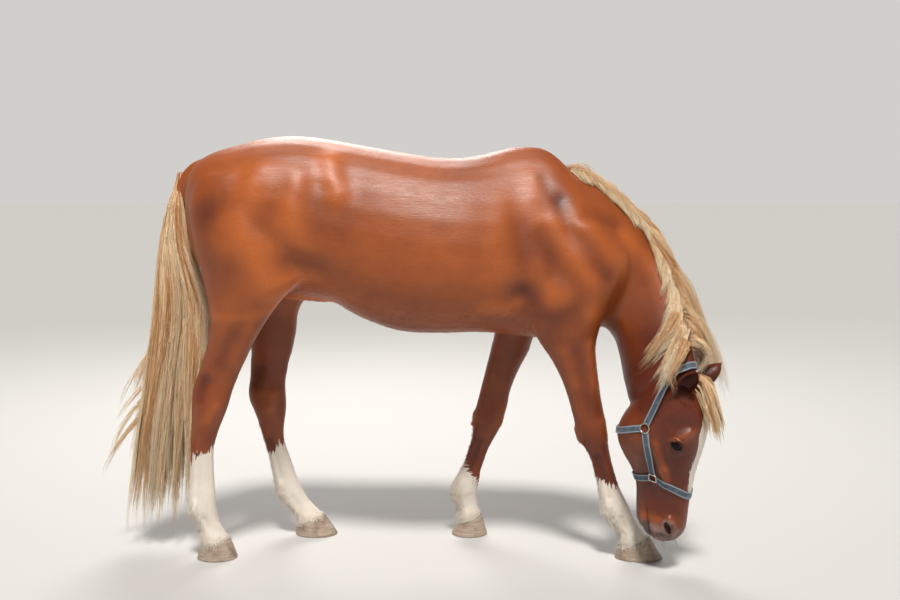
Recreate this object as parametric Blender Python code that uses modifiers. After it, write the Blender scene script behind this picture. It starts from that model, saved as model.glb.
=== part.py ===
"""A life-size grazing horse in a halter, as a still museum model.

The body is lofted from stations, fused into one skin, relieved with muscle strokes and parted by
thin cuts. Eyes, ears, hooves, halter and hair locks are set on it. Metres, +Z up. The horse faces
+X with its right side to -Y. Stations are measured from the girth and moved to the model's origin,
on the ground under the middle of the horse, at the end.
"""

import math
import random

import bmesh
import bpy
import numpy as np
from mathutils import Matrix, Vector
from mathutils.bvhtree import BVHTree

GAP = 0.0003               # kept between pieces that touch
TO_MIDDLE = (0.168, 0.068)   # from the stations' zero to the model's middle
VOXEL = 0.0075             # grain of the fused skin
FINE_TRIANGLES = 8300      # of the whole skin after the first thinning
SKIN_TRIANGLES = 4900      # of the whole skin before it is parted
RING_POINTS = 28           # points of one body section
RIGHT, LEFT = -1.0, 1.0    # sign of y on each side of the horse

COAT = (0.36, 0.095, 0.028)
WHITE_COAT = (0.80, 0.77, 0.72)
HAIR = (0.76, 0.58, 0.34)
HORN = (0.42, 0.34, 0.27)
EYE_BROWN = (0.03, 0.015, 0.010)
WEBBING = (0.16, 0.23, 0.30)
METAL = (0.62, 0.58, 0.50)

# Torso sections: x, top z, widest z, lowest z, half width, squareness above and below
TORSO = [
    (-0.965, 1.350, 1.290, 1.230, 0.050, 2.0, 2.0),
    (-0.950, 1.400, 1.290, 1.120, 0.100, 2.0, 2.0),
    (-0.916, 1.446, 1.290, 1.040, 0.145, 2.0, 2.0),
    (-0.860, 1.480, 1.270, 0.990, 0.190, 1.9, 2.0),
    (-0.768, 1.507, 1.250, 0.960, 0.228, 1.9, 2.0),
    (-0.658, 1.532, 1.240, 0.945, 0.250, 1.9, 2.0),
    (-0.550, 1.538, 1.220, 0.950, 0.258, 1.9, 2.0),
    (-0.439, 1.525, 1.160, 0.932, 0.256, 1.9, 2.0),
    (-0.335, 1.507, 1.120, 0.872, 0.264, 1.9, 2.0),
    (-0.186, 1.481, 1.090, 0.820, 0.280, 1.9, 2.1),
    (-0.037, 1.460, 1.080, 0.812, 0.287, 1.85, 2.1),
    (0.073, 1.463, 1.080, 0.815, 0.280, 1.75, 2.1),
    (0.160, 1.482, 1.080, 0.812, 0.262, 1.6, 2.1),
    (0.240, 1.500, 1.080, 0.802, 0.246, 1.5, 2.1),
    (0.310, 1.500, 1.080, 0.794, 0.234, 1.5, 2.0),
    (0.372, 1.478, 1.080, 0.790, 0.226, 1.6, 2.0),
    (0.440, 1.415, 1.080, 0.794, 0.218, 1.8, 2.0),
    (0.520, 1.330, 1.080, 0.815, 0.204, 1.9, 2.0),
    (0.580, 1.250, 1.080, 0.850, 0.184, 2.0, 2.0),
    (0.630, 1.180, 1.075, 0.930, 0.145, 2.0, 2.0),
    (0.660, 1.130, 1.075, 1.020, 0.080, 2.0, 2.0),
]
# Neck sections: crest x, y, z, then throat x, y, z, then half width
NECK = [
    (0.330, 0.000, 1.440, 0.420, 0.000, 0.900, 0.190),
    (0.440, 0.000, 1.412, 0.500, 0.000, 0.862, 0.178),
    (0.551, 0.000, 1.352, 0.555, 0.000, 0.842, 0.152),
    (0.625, -0.004, 1.292, 0.585, 0.000, 0.822, 0.132),
    (0.700, -0.016, 1.222, 0.610, -0.003, 0.790, 0.116),
    (0.751, -0.040, 1.143, 0.630, -0.012, 0.750, 0.105),
    (0.789, -0.080, 1.055, 0.643, -0.032, 0.710, 0.097),
    (0.817, -0.128, 0.962, 0.648, -0.058, 0.670, 0.091),
    (0.834, -0.180, 0.882, 0.651, -0.090, 0.634, 0.087),
    (0.846, -0.232, 0.806, 0.652, -0.125, 0.605, 0.084),
    (0.851, -0.280, 0.733, 0.657, -0.160, 0.572, 0.082),
    (0.838, -0.308, 0.668, 0.682, -0.190, 0.538, 0.070),
]
# Head sections: distance down the face, front and back of it, half width, place of the widest
# line from the back, squareness in front and behind
HEAD = [
    (-0.028, -0.085, -0.140, 0.034, 0.50, 2.0, 2.0),
    (0.000, -0.045, -0.170, 0.064, 0.52, 2.0, 2.0),
    (0.040, -0.014, -0.220, 0.082, 0.56, 2.1, 2.0),
    (0.090, 0.003, -0.258, 0.092, 0.62, 2.3, 2.0),
    (0.150, 0.009, -0.290, 0.100, 0.68, 2.4, 2.1),
    (0.205, 0.007, -0.306, 0.103, 0.70, 2.3, 2.2),
    (0.254, 0.003, -0.300, 0.094, 0.66, 2.2, 2.2),
    (0.298, 0.000, -0.270, 0.081, 0.60, 2.1, 2.2),
    (0.337, 0.000, -0.234, 0.070, 0.56, 2.1, 2.2),
    (0.381, 0.000, -0.208, 0.062, 0.54, 2.1, 2.1),
    (0.424, 0.001, -0.196, 0.059, 0.52, 2.1, 2.0),
    (0.468, 0.004, -0.188, 0.062, 0.54, 2.2, 2.0),
    (0.507, 0.003, -0.174, 0.063, 0.56, 2.3, 2.0),
    (0.538, -0.008, -0.150, 0.055, 0.54, 2.2, 2.0),
    (0.559, -0.028, -0.124, 0.040, 0.50, 2.0, 2.0),
    (0.570, -0.056, -0.094, 0.018, 0.50, 2.0, 2.0),
]
POLL = Vector((0.893, -0.352, 0.655))
HEAD_TURN = math.radians(33)      # to the horse's right
FACE_SLOPE = math.radians(10.0)   # of the face line back from the vertical
# Leg sections: z, back x, front x, centre y from the midline, half thickness
LEG_TABLES = {
    "foreleg_right": [
        (1.220, 0.320, 0.560, 0.120, 0.075), (1.100, 0.290, 0.610, 0.140, 0.088),
        (1.000, 0.268, 0.600, 0.148, 0.092), (0.920, 0.262, 0.566, 0.150, 0.086),
        (0.850, 0.290, 0.540, 0.148, 0.076), (0.785, 0.326, 0.526, 0.144, 0.067),
        (0.730, 0.364, 0.529, 0.142, 0.061), (0.657, 0.402, 0.537, 0.140, 0.053),
        (0.584, 0.428, 0.549, 0.138, 0.046), (0.529, 0.443, 0.560, 0.137, 0.045),
        (0.474, 0.458, 0.568, 0.136, 0.049), (0.437, 0.470, 0.573, 0.136, 0.045),
        (0.400, 0.494, 0.580, 0.136, 0.037), (0.363, 0.513, 0.588, 0.136, 0.029),
        (0.325, 0.522, 0.599, 0.136, 0.026), (0.288, 0.531, 0.610, 0.136, 0.026),
        (0.251, 0.539, 0.624, 0.136, 0.029), (0.213, 0.546, 0.643, 0.136, 0.034),
        (0.176, 0.551, 0.661, 0.136, 0.037), (0.138, 0.572, 0.676, 0.137, 0.034),
        (0.101, 0.606, 0.703, 0.138, 0.034), (0.074, 0.618, 0.722, 0.139, 0.043),
        (0.030, 0.620, 0.735, 0.140, 0.048),
    ],
    "foreleg_left": [
        (1.220, 0.280, 0.520, 0.120, 0.075), (1.100, 0.250, 0.570, 0.140, 0.088),
        (1.000, 0.215, 0.530, 0.148, 0.092), (0.920, 0.195, 0.470, 0.150, 0.086),
        (0.850, 0.180, 0.395, 0.148, 0.076), (0.783, 0.168, 0.328, 0.144, 0.067),
        (0.725, 0.155, 0.308, 0.142, 0.061), (0.647, 0.136, 0.266, 0.140, 0.053),
        (0.568, 0.116, 0.235, 0.138, 0.046), (0.520, 0.104, 0.225, 0.137, 0.045),
        (0.475, 0.094, 0.210, 0.136, 0.049), (0.440, 0.092, 0.203, 0.136, 0.047),
        (0.405, 0.088, 0.187, 0.136, 0.039), (0.371, 0.082, 0.168, 0.136, 0.031),
        (0.331, 0.070, 0.148, 0.136, 0.026), (0.291, 0.058, 0.135, 0.136, 0.026),
        (0.251, 0.038, 0.121, 0.136, 0.029), (0.212, 0.017, 0.116, 0.136, 0.034),
        (0.172, 0.005, 0.106, 0.136, 0.037), (0.140, 0.012, 0.106, 0.137, 0.034),
        (0.108, 0.032, 0.110, 0.138, 0.034), (0.074, 0.033, 0.122, 0.139, 0.043),
        (0.030, 0.032, 0.126, 0.140, 0.048),
    ],
    "hindleg_right": [
        (1.400, -0.880, -0.620, 0.110, 0.080), (1.304, -0.930, -0.540, 0.128, 0.104),
        (1.163, -0.914, -0.510, 0.145, 0.116), (1.080, -0.896, -0.505, 0.150, 0.114),
        (1.020, -0.880, -0.530, 0.152, 0.106), (0.948, -0.867, -0.600, 0.152, 0.092),
        (0.876, -0.861, -0.652, 0.150, 0.077), (0.803, -0.870, -0.697, 0.146, 0.063),
        (0.730, -0.892, -0.734, 0.142, 0.050), (0.694, -0.905, -0.752, 0.140, 0.044),
        (0.657, -0.920, -0.768, 0.139, 0.041), (0.621, -0.931, -0.783, 0.138, 0.044),
        (0.584, -0.936, -0.795, 0.138, 0.048), (0.547, -0.936, -0.807, 0.138, 0.049),
        (0.511, -0.937, -0.822, 0.138, 0.046), (0.474, -0.940, -0.837, 0.138, 0.039),
        (0.437, -0.943, -0.849, 0.138, 0.032), (0.400, -0.944, -0.857, 0.138, 0.028),
        (0.340, -0.947, -0.858, 0.138, 0.027), (0.288, -0.950, -0.857, 0.138, 0.028),
        (0.251, -0.955, -0.855, 0.138, 0.032), (0.213, -0.958, -0.854, 0.138, 0.036),
        (0.176, -0.955, -0.852, 0.138, 0.038), (0.138, -0.936, -0.845, 0.138, 0.034),
        (0.101, -0.918, -0.828, 0.138, 0.034), (0.072, -0.914, -0.812, 0.138, 0.042),
        (0.030, -0.910, -0.800, 0.138, 0.046),
    ],
    "hindleg_left": [
        (1.400, -0.860, -0.600, 0.110, 0.080), (1.304, -0.910, -0.520, 0.128, 0.104),
        (1.163, -0.885, -0.480, 0.145, 0.116), (1.080, -0.862, -0.460, 0.150, 0.114),
        (1.020, -0.845, -0.475, 0.152, 0.106), (0.948, -0.825, -0.535, 0.152, 0.092),
        (0.880, -0.806, -0.580, 0.150, 0.078), (0.802, -0.785, -0.590, 0.146, 0.064),
        (0.725, -0.769, -0.606, 0.142, 0.051), (0.686, -0.772, -0.618, 0.140, 0.045),
        (0.647, -0.773, -0.626, 0.139, 0.042), (0.607, -0.775, -0.634, 0.138, 0.045),
        (0.568, -0.781, -0.635, 0.138, 0.049), (0.529, -0.777, -0.633, 0.138, 0.049),
        (0.489, -0.761, -0.634, 0.138, 0.045), (0.450, -0.747, -0.640, 0.138, 0.037),
        (0.410, -0.735, -0.644, 0.138, 0.030), (0.371, -0.724, -0.642, 0.138, 0.027),
        (0.331, -0.713, -0.630, 0.138, 0.027), (0.291, -0.703, -0.616, 0.138, 0.028),
        (0.251, -0.696, -0.604, 0.138, 0.032), (0.212, -0.688, -0.590, 0.138, 0.036),
        (0.172, -0.677, -0.574, 0.138, 0.038), (0.131, -0.658, -0.548, 0.138, 0.036),
        (0.099, -0.625, -0.520, 0.138, 0.036), (0.072, -0.604, -0.497, 0.138, 0.043),
        (0.030, -0.596, -0.486, 0.138, 0.047),
    ],
}
SIDE_OF = {"right": RIGHT, "left": LEFT}
# Hooves: heel and toe on the ground, heel and toe at the coronet
HOOVES = {
    "foreleg_right": (0.604, 0.778, 0.618, 0.730),
    "foreleg_left": (0.006, 0.146, 0.028, 0.124),
    "hindleg_right": (-0.926, -0.780, -0.918, -0.808),
    "hindleg_left": (-0.603, -0.441, -0.602, -0.492),
}
CORONET_HEEL, CORONET_TOE = 0.040, 0.078   # heights of the coronet's two ends
HOOF_HALF_WIDTH = 0.062

TAIL_DOCK = [
    (-0.870, 1.425, 0.038), (-0.925, 1.412, 0.036), (-0.968, 1.372, 0.031),
    (-1.000, 1.305, 0.026), (-1.014, 1.225, 0.021), (-1.020, 1.150, 0.015),
]


def clear_scene():
    for thing in list(bpy.data.objects):
        bpy.data.objects.remove(thing, do_unlink=True)


def make_collection(name):
    group = bpy.data.collections.new(name)
    bpy.context.scene.collection.children.link(group)
    return group


def make_material(name, colour, roughness, metallic=0.0):
    material = bpy.data.materials.new(name)
    material.use_nodes = True
    shader = material.node_tree.nodes["Principled BSDF"]
    shader.inputs["Base Color"].default_value = (*colour, 1.0)
    shader.inputs["Roughness"].default_value = roughness
    shader.inputs["Metallic"].default_value = metallic
    material.diffuse_color = (*colour, 1.0)
    return material


def make_object(name, mesh, group, material=None):
    thing = bpy.data.objects.new(name, mesh)
    group.objects.link(thing)
    if material:
        mesh.materials.append(material)
    return thing


def spread(rows, steps):
    """The rows with smooth rows between them, on a spline through the given ones."""
    table = np.array(rows, dtype=float)
    padded = np.vstack([2 * table[0] - table[1], table, 2 * table[-1] - table[-2]])
    smooth = []
    for k in range(len(table) - 1):
        a, b, c, d = padded[k:k + 4]
        for t in np.linspace(0, 1, steps, endpoint=False):
            bend = (2 * a - 5 * b + 4 * c - d) * t * t + (3 * b - a - 3 * c + d) * t ** 3
            smooth.append(0.5 * (2 * b + (c - a) * t + bend))
    smooth.append(table[-1])
    return smooth


def egg_ring(top, bottom, side, half_width, widest, top_power, bottom_power, count=RING_POINTS):
    """A closed section from the bottom to the top point, as wide as asked at its widest line."""
    top, bottom, side = (np.array(p, dtype=float) for p in (top, bottom, side))
    centre = bottom + (top - bottom) * widest
    ring = []
    for k in range(count):
        angle = 2 * math.pi * k / count
        across, up = math.cos(angle), math.sin(angle)
        power = 2 / (top_power if up >= 0 else bottom_power)
        reach = (top - centre) if up >= 0 else (bottom - centre)
        width = half_width * math.copysign(abs(across) ** power, across)
        ring.append(centre + side * width + reach * abs(up) ** power)
    return ring


def loft(name, rings, group):
    """A closed solid through rings that all have the same number of points."""
    shape = bmesh.new()
    rows = [[shape.verts.new(Vector(p)) for p in ring] for ring in rings]
    count = len(rows[0])
    for lower, upper in zip(rows, rows[1:]):
        for k in range(count):
            n = (k + 1) % count
            shape.faces.new((lower[k], lower[n], upper[n], upper[k]))
    for row in (rows[0], rows[-1]):
        hub = shape.verts.new(sum((v.co for v in row), Vector()) / count)
        for k in range(count):
            shape.faces.new((row[k], row[(k + 1) % count], hub))
    bmesh.ops.recalc_face_normals(shape, faces=shape.faces)
    if shape.calc_volume(signed=True) < 0:
        bmesh.ops.reverse_faces(shape, faces=shape.faces)
    mesh = bpy.data.meshes.new(name)
    shape.to_mesh(mesh)
    shape.free()
    return make_object(name, mesh, group)


def torso_rings():
    rings = []
    for x, top, widest, low, half, above, below in spread(TORSO, 3):
        place = (widest - low) / (top - low)
        rings.append(egg_ring((x, 0, top), (x, 0, low), (0, 1, 0), half, place, above, below))
    return rings


def neck_rings():
    rows = spread(NECK, 4)
    middles = [(row[:3] + row[3:6]) / 2 for row in rows]
    rings = []
    for k, row in enumerate(rows):
        onward = middles[min(k + 1, len(rows) - 1)] - middles[max(k - 1, 0)]
        side = np.cross(row[:3] - row[3:6], onward)
        side /= np.linalg.norm(side)
        rings.append(egg_ring(row[:3], row[3:6], side, row[6], 0.45, 1.75, 2.1))
    return rings


def head_axes():
    """Unit vectors of the head: down the face, out of the face, and to its left."""
    ahead = Vector((math.cos(HEAD_TURN), -math.sin(HEAD_TURN), 0))
    left = Vector((math.sin(HEAD_TURN), math.cos(HEAD_TURN), 0))
    up = Vector((0, 0, 1))
    down_face = -ahead * math.sin(FACE_SLOPE) - up * math.cos(FACE_SLOPE)
    out_of_face = ahead * math.cos(FACE_SLOPE) - up * math.sin(FACE_SLOPE)
    return down_face, out_of_face, left


def head_point(down, out, left):
    down_face, out_of_face, to_left = head_axes()
    return POLL + down_face * down + out_of_face * out + to_left * left


def head_rings():
    side = head_axes()[2]
    rings = []
    for down, front, back, half, widest, ahead, behind in spread(HEAD, 4):
        top, bottom = head_point(down, front, 0), head_point(down, back, 0)
        rings.append(egg_ring(top, bottom, side, half, widest, ahead, behind))
    return rings


def leg_rings(name):
    side = SIDE_OF[name.split("_")[1]]
    rings = []
    for z, back, front, centre, half in spread(LEG_TABLES[name], 3):
        y = side * centre
        rings.append(egg_ring((front, y, z), (back, y, z), (0, 1, 0), half, 0.5, 2.1, 2.1))
    return rings


def dock_rings():
    rows = spread(TAIL_DOCK, 3)
    rings = []
    for k, (x, z, radius) in enumerate(rows):
        onward = Vector(rows[min(k + 1, len(rows) - 1)][:2]) - Vector(rows[max(k - 1, 0)][:2])
        across = Vector((onward.y, -onward.x)).normalized() * radius
        top, bottom = (x + across.x, 0, z + across.y), (x - across.x, 0, z - across.y)
        rings.append(egg_ring(top, bottom, (0, 1, 0), radius, 0.5, 2, 2))
    return rings


def join_meshes(name, pieces, group):
    shape = bmesh.new()
    for piece in pieces:
        shape.from_mesh(piece.data)
        bpy.data.objects.remove(piece, do_unlink=True)
    mesh = bpy.data.meshes.new(name)
    shape.to_mesh(mesh)
    shape.free()
    return make_object(name, mesh, group)


def evaluated_copy(thing, name, group):
    """A plain mesh object of the thing with its modifiers, which it then replaces."""
    graph = bpy.context.evaluated_depsgraph_get()
    graph.update()
    mesh = bpy.data.meshes.new_from_object(thing.evaluated_get(graph))
    bpy.data.objects.remove(thing, do_unlink=True)
    return make_object(name, mesh, group)


def fuse(thing, name, group, voxel):
    remesh = thing.modifiers.new("fuse", "REMESH")
    remesh.mode = "VOXEL"
    remesh.voxel_size = voxel
    remesh.adaptivity = 0.0
    return evaluated_copy(thing, name, group)


def vertex_places(mesh):
    places = np.empty(len(mesh.vertices) * 3)
    mesh.vertices.foreach_get("co", places)
    return places.reshape(-1, 3)


def vertex_normals(mesh):
    normals = np.empty(len(mesh.vertices) * 3)
    mesh.vertices.foreach_get("normal", normals)
    return normals.reshape(-1, 3)


def set_places(mesh, places):
    mesh.vertices.foreach_set("co", places.ravel())
    mesh.update()


def smooth_skin(mesh, rounds, push, weight=None):
    """Relaxes the mesh; push 0 lets it shrink, a push of about 0.53 keeps its volume."""
    edges = np.empty(len(mesh.edges) * 2, dtype=int)
    mesh.edges.foreach_get("vertices", edges)
    first, second = edges.reshape(-1, 2).T
    places = vertex_places(mesh)
    count = np.bincount(first, minlength=len(places)) + np.bincount(second, minlength=len(places))
    weight = np.ones(len(places)) if weight is None else weight
    for turn in range(rounds * 2):
        factor = 0.5 if turn % 2 == 0 else -push
        if factor == 0:
            continue
        total = np.zeros_like(places)
        for axis in range(3):
            total[:, axis] = np.bincount(first, places[second, axis], len(places))
            total[:, axis] += np.bincount(second, places[first, axis], len(places))
        step = total / count[:, None] - places
        places += step * (factor * weight)[:, None]
    set_places(mesh, places)


def distance_to_path(places, path):
    """Each place's distance to a path of points joined by straight lines."""
    nearest = np.full(len(places), 1e9)
    path = [np.array(p, dtype=float) for p in path]
    for a, b in zip(path, path[1:]):
        along = b - a
        share = np.clip((places - a) @ along / max(along @ along, 1e-12), 0, 1)
        gap = np.linalg.norm(places - (a + share[:, None] * along), axis=1)
        nearest = np.minimum(nearest, gap)
    return nearest


def near(places, centre, radius):
    """One at the centre, falling to nothing at about twice the radius."""
    gap = np.linalg.norm(places - np.array(centre, dtype=float), axis=1)
    return np.exp(-(gap / radius) ** 2)


# Muscle strokes: path, radius, height; a negative height is a groove. Torso strokes are on both
# sides, with y as the distance from the midline.
BODY_STROKES = [
    ([(-0.425, 0.140, 1.445), (-0.408, 0.197, 1.392), (-0.389, 0.217, 1.335)], 0.043, 0.0104),
    ([(-0.345, 0.200, 1.385), (-0.340, 0.230, 1.290), (-0.380, 0.235, 1.180)], 0.066, -0.0043),
    ([(-0.470, 0.225, 1.360), (-0.460, 0.243, 1.254), (-0.480, 0.238, 1.150)], 0.043, -0.0033),
    ([(-0.530, 0.222, 1.370), (-0.556, 0.245, 1.288), (-0.549, 0.249, 1.220),
      (-0.510, 0.237, 1.140)], 0.043, 0.0061),
    ([(-0.570, 0.235, 1.340), (-0.590, 0.242, 1.295), (-0.620, 0.247, 1.264),
      (-0.650, 0.250, 1.225)], 0.039, -0.0037),
    ([(-0.673, 0.197, 1.402), (-0.718, 0.226, 1.323), (-0.736, 0.246, 1.247),
      (-0.714, 0.260, 1.186), (-0.683, 0.267, 1.100), (-0.644, 0.246, 0.994)], 0.048, 0.0067),
    ([(-0.760, 0.236, 1.290), (-0.840, 0.220, 1.270)], 0.049, -0.0041),
    ([(-0.860, 0.215, 1.240), (-0.850, 0.235, 1.120), (-0.820, 0.235, 0.980)], 0.039, -0.0041),
    ([(-0.750, 0.258, 1.060), (-0.695, 0.253, 0.994), (-0.658, 0.231, 0.943)], 0.043, -0.0045),
    ([(-0.550, 0.235, 1.090), (-0.517, 0.220, 1.097), (-0.465, 0.207, 1.061)], 0.036, -0.0053),
    ([(-0.570, 0.200, 1.005), (-0.529, 0.195, 1.035), (-0.468, 0.201, 1.042)], 0.026, 0.0053),
    ([(-0.650, 0.210, 0.975), (-0.585, 0.220, 1.000)], 0.046, 0.0067),
    ([(-0.829, 0.207, 0.894), (-0.755, 0.226, 0.882), (-0.669, 0.209, 0.902),
      (-0.622, 0.180, 0.926)], 0.018, 0.0026),
    ([(-0.580, 0.000, 0.960), (-0.530, 0.000, 0.945), (-0.480, 0.000, 0.925)], 0.039, 0.0102),
    ([(0.332, 0.120, 1.380), (0.351, 0.142, 1.329), (0.385, 0.152, 1.295)], 0.025, -0.0028),
    ([(0.389, 0.155, 1.298), (0.421, 0.195, 1.200), (0.479, 0.215, 1.142),
      (0.550, 0.218, 1.045)], 0.033, -0.0057),
    ([(0.320, 0.220, 1.190), (0.338, 0.228, 1.132), (0.373, 0.236, 1.063), (0.441, 0.250, 1.005),
      (0.485, 0.243, 0.960)], 0.031, -0.0053),
    ([(0.360, 0.200, 1.230), (0.436, 0.229, 1.090), (0.496, 0.233, 1.017)], 0.039, 0.0048),
    ([(0.445, 0.185, 1.235), (0.520, 0.200, 1.130), (0.590, 0.185, 1.065)], 0.045, 0.0053),
    ([(0.270, 0.216, 0.984), (0.317, 0.207, 0.912), (0.369, 0.217, 0.885), (0.420, 0.233, 0.905),
      (0.465, 0.243, 0.945)], 0.033, -0.0049),
    ([(0.300, 0.220, 1.040), (0.360, 0.235, 0.970), (0.430, 0.245, 0.960)], 0.057, 0.0080),
    ([(0.255, 0.225, 1.210), (0.255, 0.231, 1.132), (0.262, 0.233, 1.062),
      (0.250, 0.225, 0.985)], 0.044, -0.0065),
    ([(0.175, 0.188, 1.288), (0.163, 0.236, 1.167), (0.174, 0.248, 1.064)], 0.053, 0.0043),
    ([(0.120, 0.220, 0.930), (0.204, 0.208, 0.923), (0.240, 0.206, 0.940)], 0.025, 0.0048),
    ([(0.300, 0.140, 1.400), (0.290, 0.190, 1.300), (0.295, 0.215, 1.200)], 0.043, 0.0049),
    ([(0.490, 0.155, 1.262), (0.590, 0.109, 1.210)], 0.029, -0.0024),
    ([(0.630, 0.095, 1.171), (0.705, 0.088, 1.095), (0.756, 0.113, 1.017),
      (0.790, 0.140, 0.930)], 0.029, 0.0043),
    ([(0.690, 0.117, 1.010), (0.715, 0.140, 0.930), (0.720, 0.180, 0.840)], 0.049, -0.0033),
    ([(0.489, 0.234, 0.955), (0.499, 0.220, 0.890)], 0.029, 0.0048),
    ([(0.620, 0.110, 1.090), (0.640, 0.110, 1.030)], 0.063, 0.0061),
]


def stroke(mesh, strokes, share=1.0):
    places, normals = vertex_places(mesh), vertex_normals(mesh)
    for path, radius, height in strokes:
        gap = distance_to_path(places, path)
        places += normals * (share * height * np.exp(-(gap / radius) ** 2))[:, None]
    set_places(mesh, places)


def both_sides(strokes):
    doubled = []
    for path, radius, height in strokes:
        for side in (RIGHT, LEFT):
            doubled.append(([(x, side * y, z) for x, y, z in path], radius, height))
    return doubled


# Head strokes in the head's own frame: (down, out, aside) points, radius, height, on both sides
HEAD_STROKES = [
    ([(0.294, -0.085, 0.075), (0.210, -0.125, 0.095)], 0.013, 0.009),
    ([(0.333, -0.075, 0.066), (0.294, -0.085, 0.078)], 0.014, 0.006),
    ([(0.140, -0.020, 0.080), (0.160, -0.035, 0.096), (0.178, -0.060, 0.104)], 0.016, 0.010),
    ([(0.235, -0.030, 0.080), (0.263, -0.050, 0.088)], 0.020, -0.006),
    ([(0.120, -0.035, 0.085), (0.130, -0.070, 0.100)], 0.022, -0.008),
    ([(0.250, -0.180, 0.090), (0.180, -0.215, 0.095)], 0.060, 0.010),
    ([(0.294, -0.235, 0.055), (0.220, -0.285, 0.060)], 0.020, 0.004),
    ([(0.355, -0.120, 0.065), (0.407, -0.110, 0.062)], 0.028, -0.008),
    ([(0.294, -0.145, 0.085), (0.363, -0.150, 0.070)], 0.022, -0.005),
    ([(0.468, -0.040, 0.055), (0.499, -0.025, 0.052), (0.525, -0.035, 0.048)], 0.014, 0.010),
    ([(0.485, -0.075, 0.060), (0.520, -0.080, 0.052)], 0.012, 0.004),
    ([(0.442, -0.030, 0.048), (0.468, -0.045, 0.060)], 0.014, -0.003),
    ([(0.485, -0.100, 0.055), (0.538, -0.085, 0.040), (0.566, -0.072, 0.010)], 0.013, 0.005),
    ([(0.490, -0.135, 0.050), (0.533, -0.120, 0.036), (0.555, -0.108, 0.008)], 0.013, 0.006),
    ([(0.520, -0.150, 0.020), (0.507, -0.160, 0.000)], 0.022, 0.005),
]
MOUTH_LINE = [
    (0.461, -0.132, 0.062), (0.481, -0.124, 0.061), (0.507, -0.112, 0.056), (0.533, -0.102, 0.046),
    (0.555, -0.094, 0.030), (0.567, -0.088, 0.012), (0.570, -0.086, 0.000),
]
EYE_PLACE = (0.194, -0.056, 0.0805)  # of the eyeball's centre, in the head's frame
EYE_RADIUS, LID_THICKNESS = 0.0215, 0.0045
EYE_SLIT = (0.0205, 0.0125, 0.0090)      # half length, height above and depth below its middle line
NOSTRIL_PLACE = (0.500, -0.038, 0.058)
EAR_PLACE = (0.034, -0.089, 0.067)   # of the middle of the ear's root
EAR_WIDTH = 0.034
EAR_LENGTHS = {RIGHT: 0.124, LEFT: 0.138}
# How far each ear leans out of the face line, spreads sideways and turns its cup outwards
EAR_STANCE = {RIGHT: (0.42, 0.13, 0.95), LEFT: (0.56, 0.25, 1.25)}
EAR_ROOT_DEPTH = 0.022               # of the ear's closed foot inside the skull
EAR_CLEARANCE = 0.051                # from an ear's axis to the middle of the crown strap


def head_path(points, side):
    return [head_point(down, out, aside * side) for down, out, aside in points]


def head_strokes():
    doubled = []
    for points, radius, height in HEAD_STROKES:
        for side in (RIGHT, LEFT):
            doubled.append((head_path(points, side), radius, height))
    return doubled


def make_skin(group, voxel, smoothing):
    """The whole fleshed body as one fine closed mesh, muscles and all."""
    pieces = [loft("torso", torso_rings(), group), loft("neck", neck_rings(), group)]
    pieces.append(loft("head", head_rings(), group))
    pieces.append(loft("dock", dock_rings(), group))
    pieces += [loft(name, leg_rings(name), group) for name in LEG_TABLES]
    skin = fuse(join_meshes("skin", pieces, group), "skin", group, voxel)
    places = vertex_places(skin.data)
    high = np.clip((places[:, 2] - 0.60) / 0.25, 0, 1)
    face = near(places, head_point(0.33, -0.12, 0), 0.26)
    smooth_skin(skin.data, smoothing, 0.0, high * (1 - np.clip(1.3 * face, 0, 1)))
    smooth_skin(skin.data, smoothing // 2, 0.53)
    stroke(skin.data, both_sides(BODY_STROKES))
    stroke(skin.data, head_strokes())
    stroke(skin.data, leg_strokes())
    smooth_skin(skin.data, 2, 0.53)
    return skin


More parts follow.
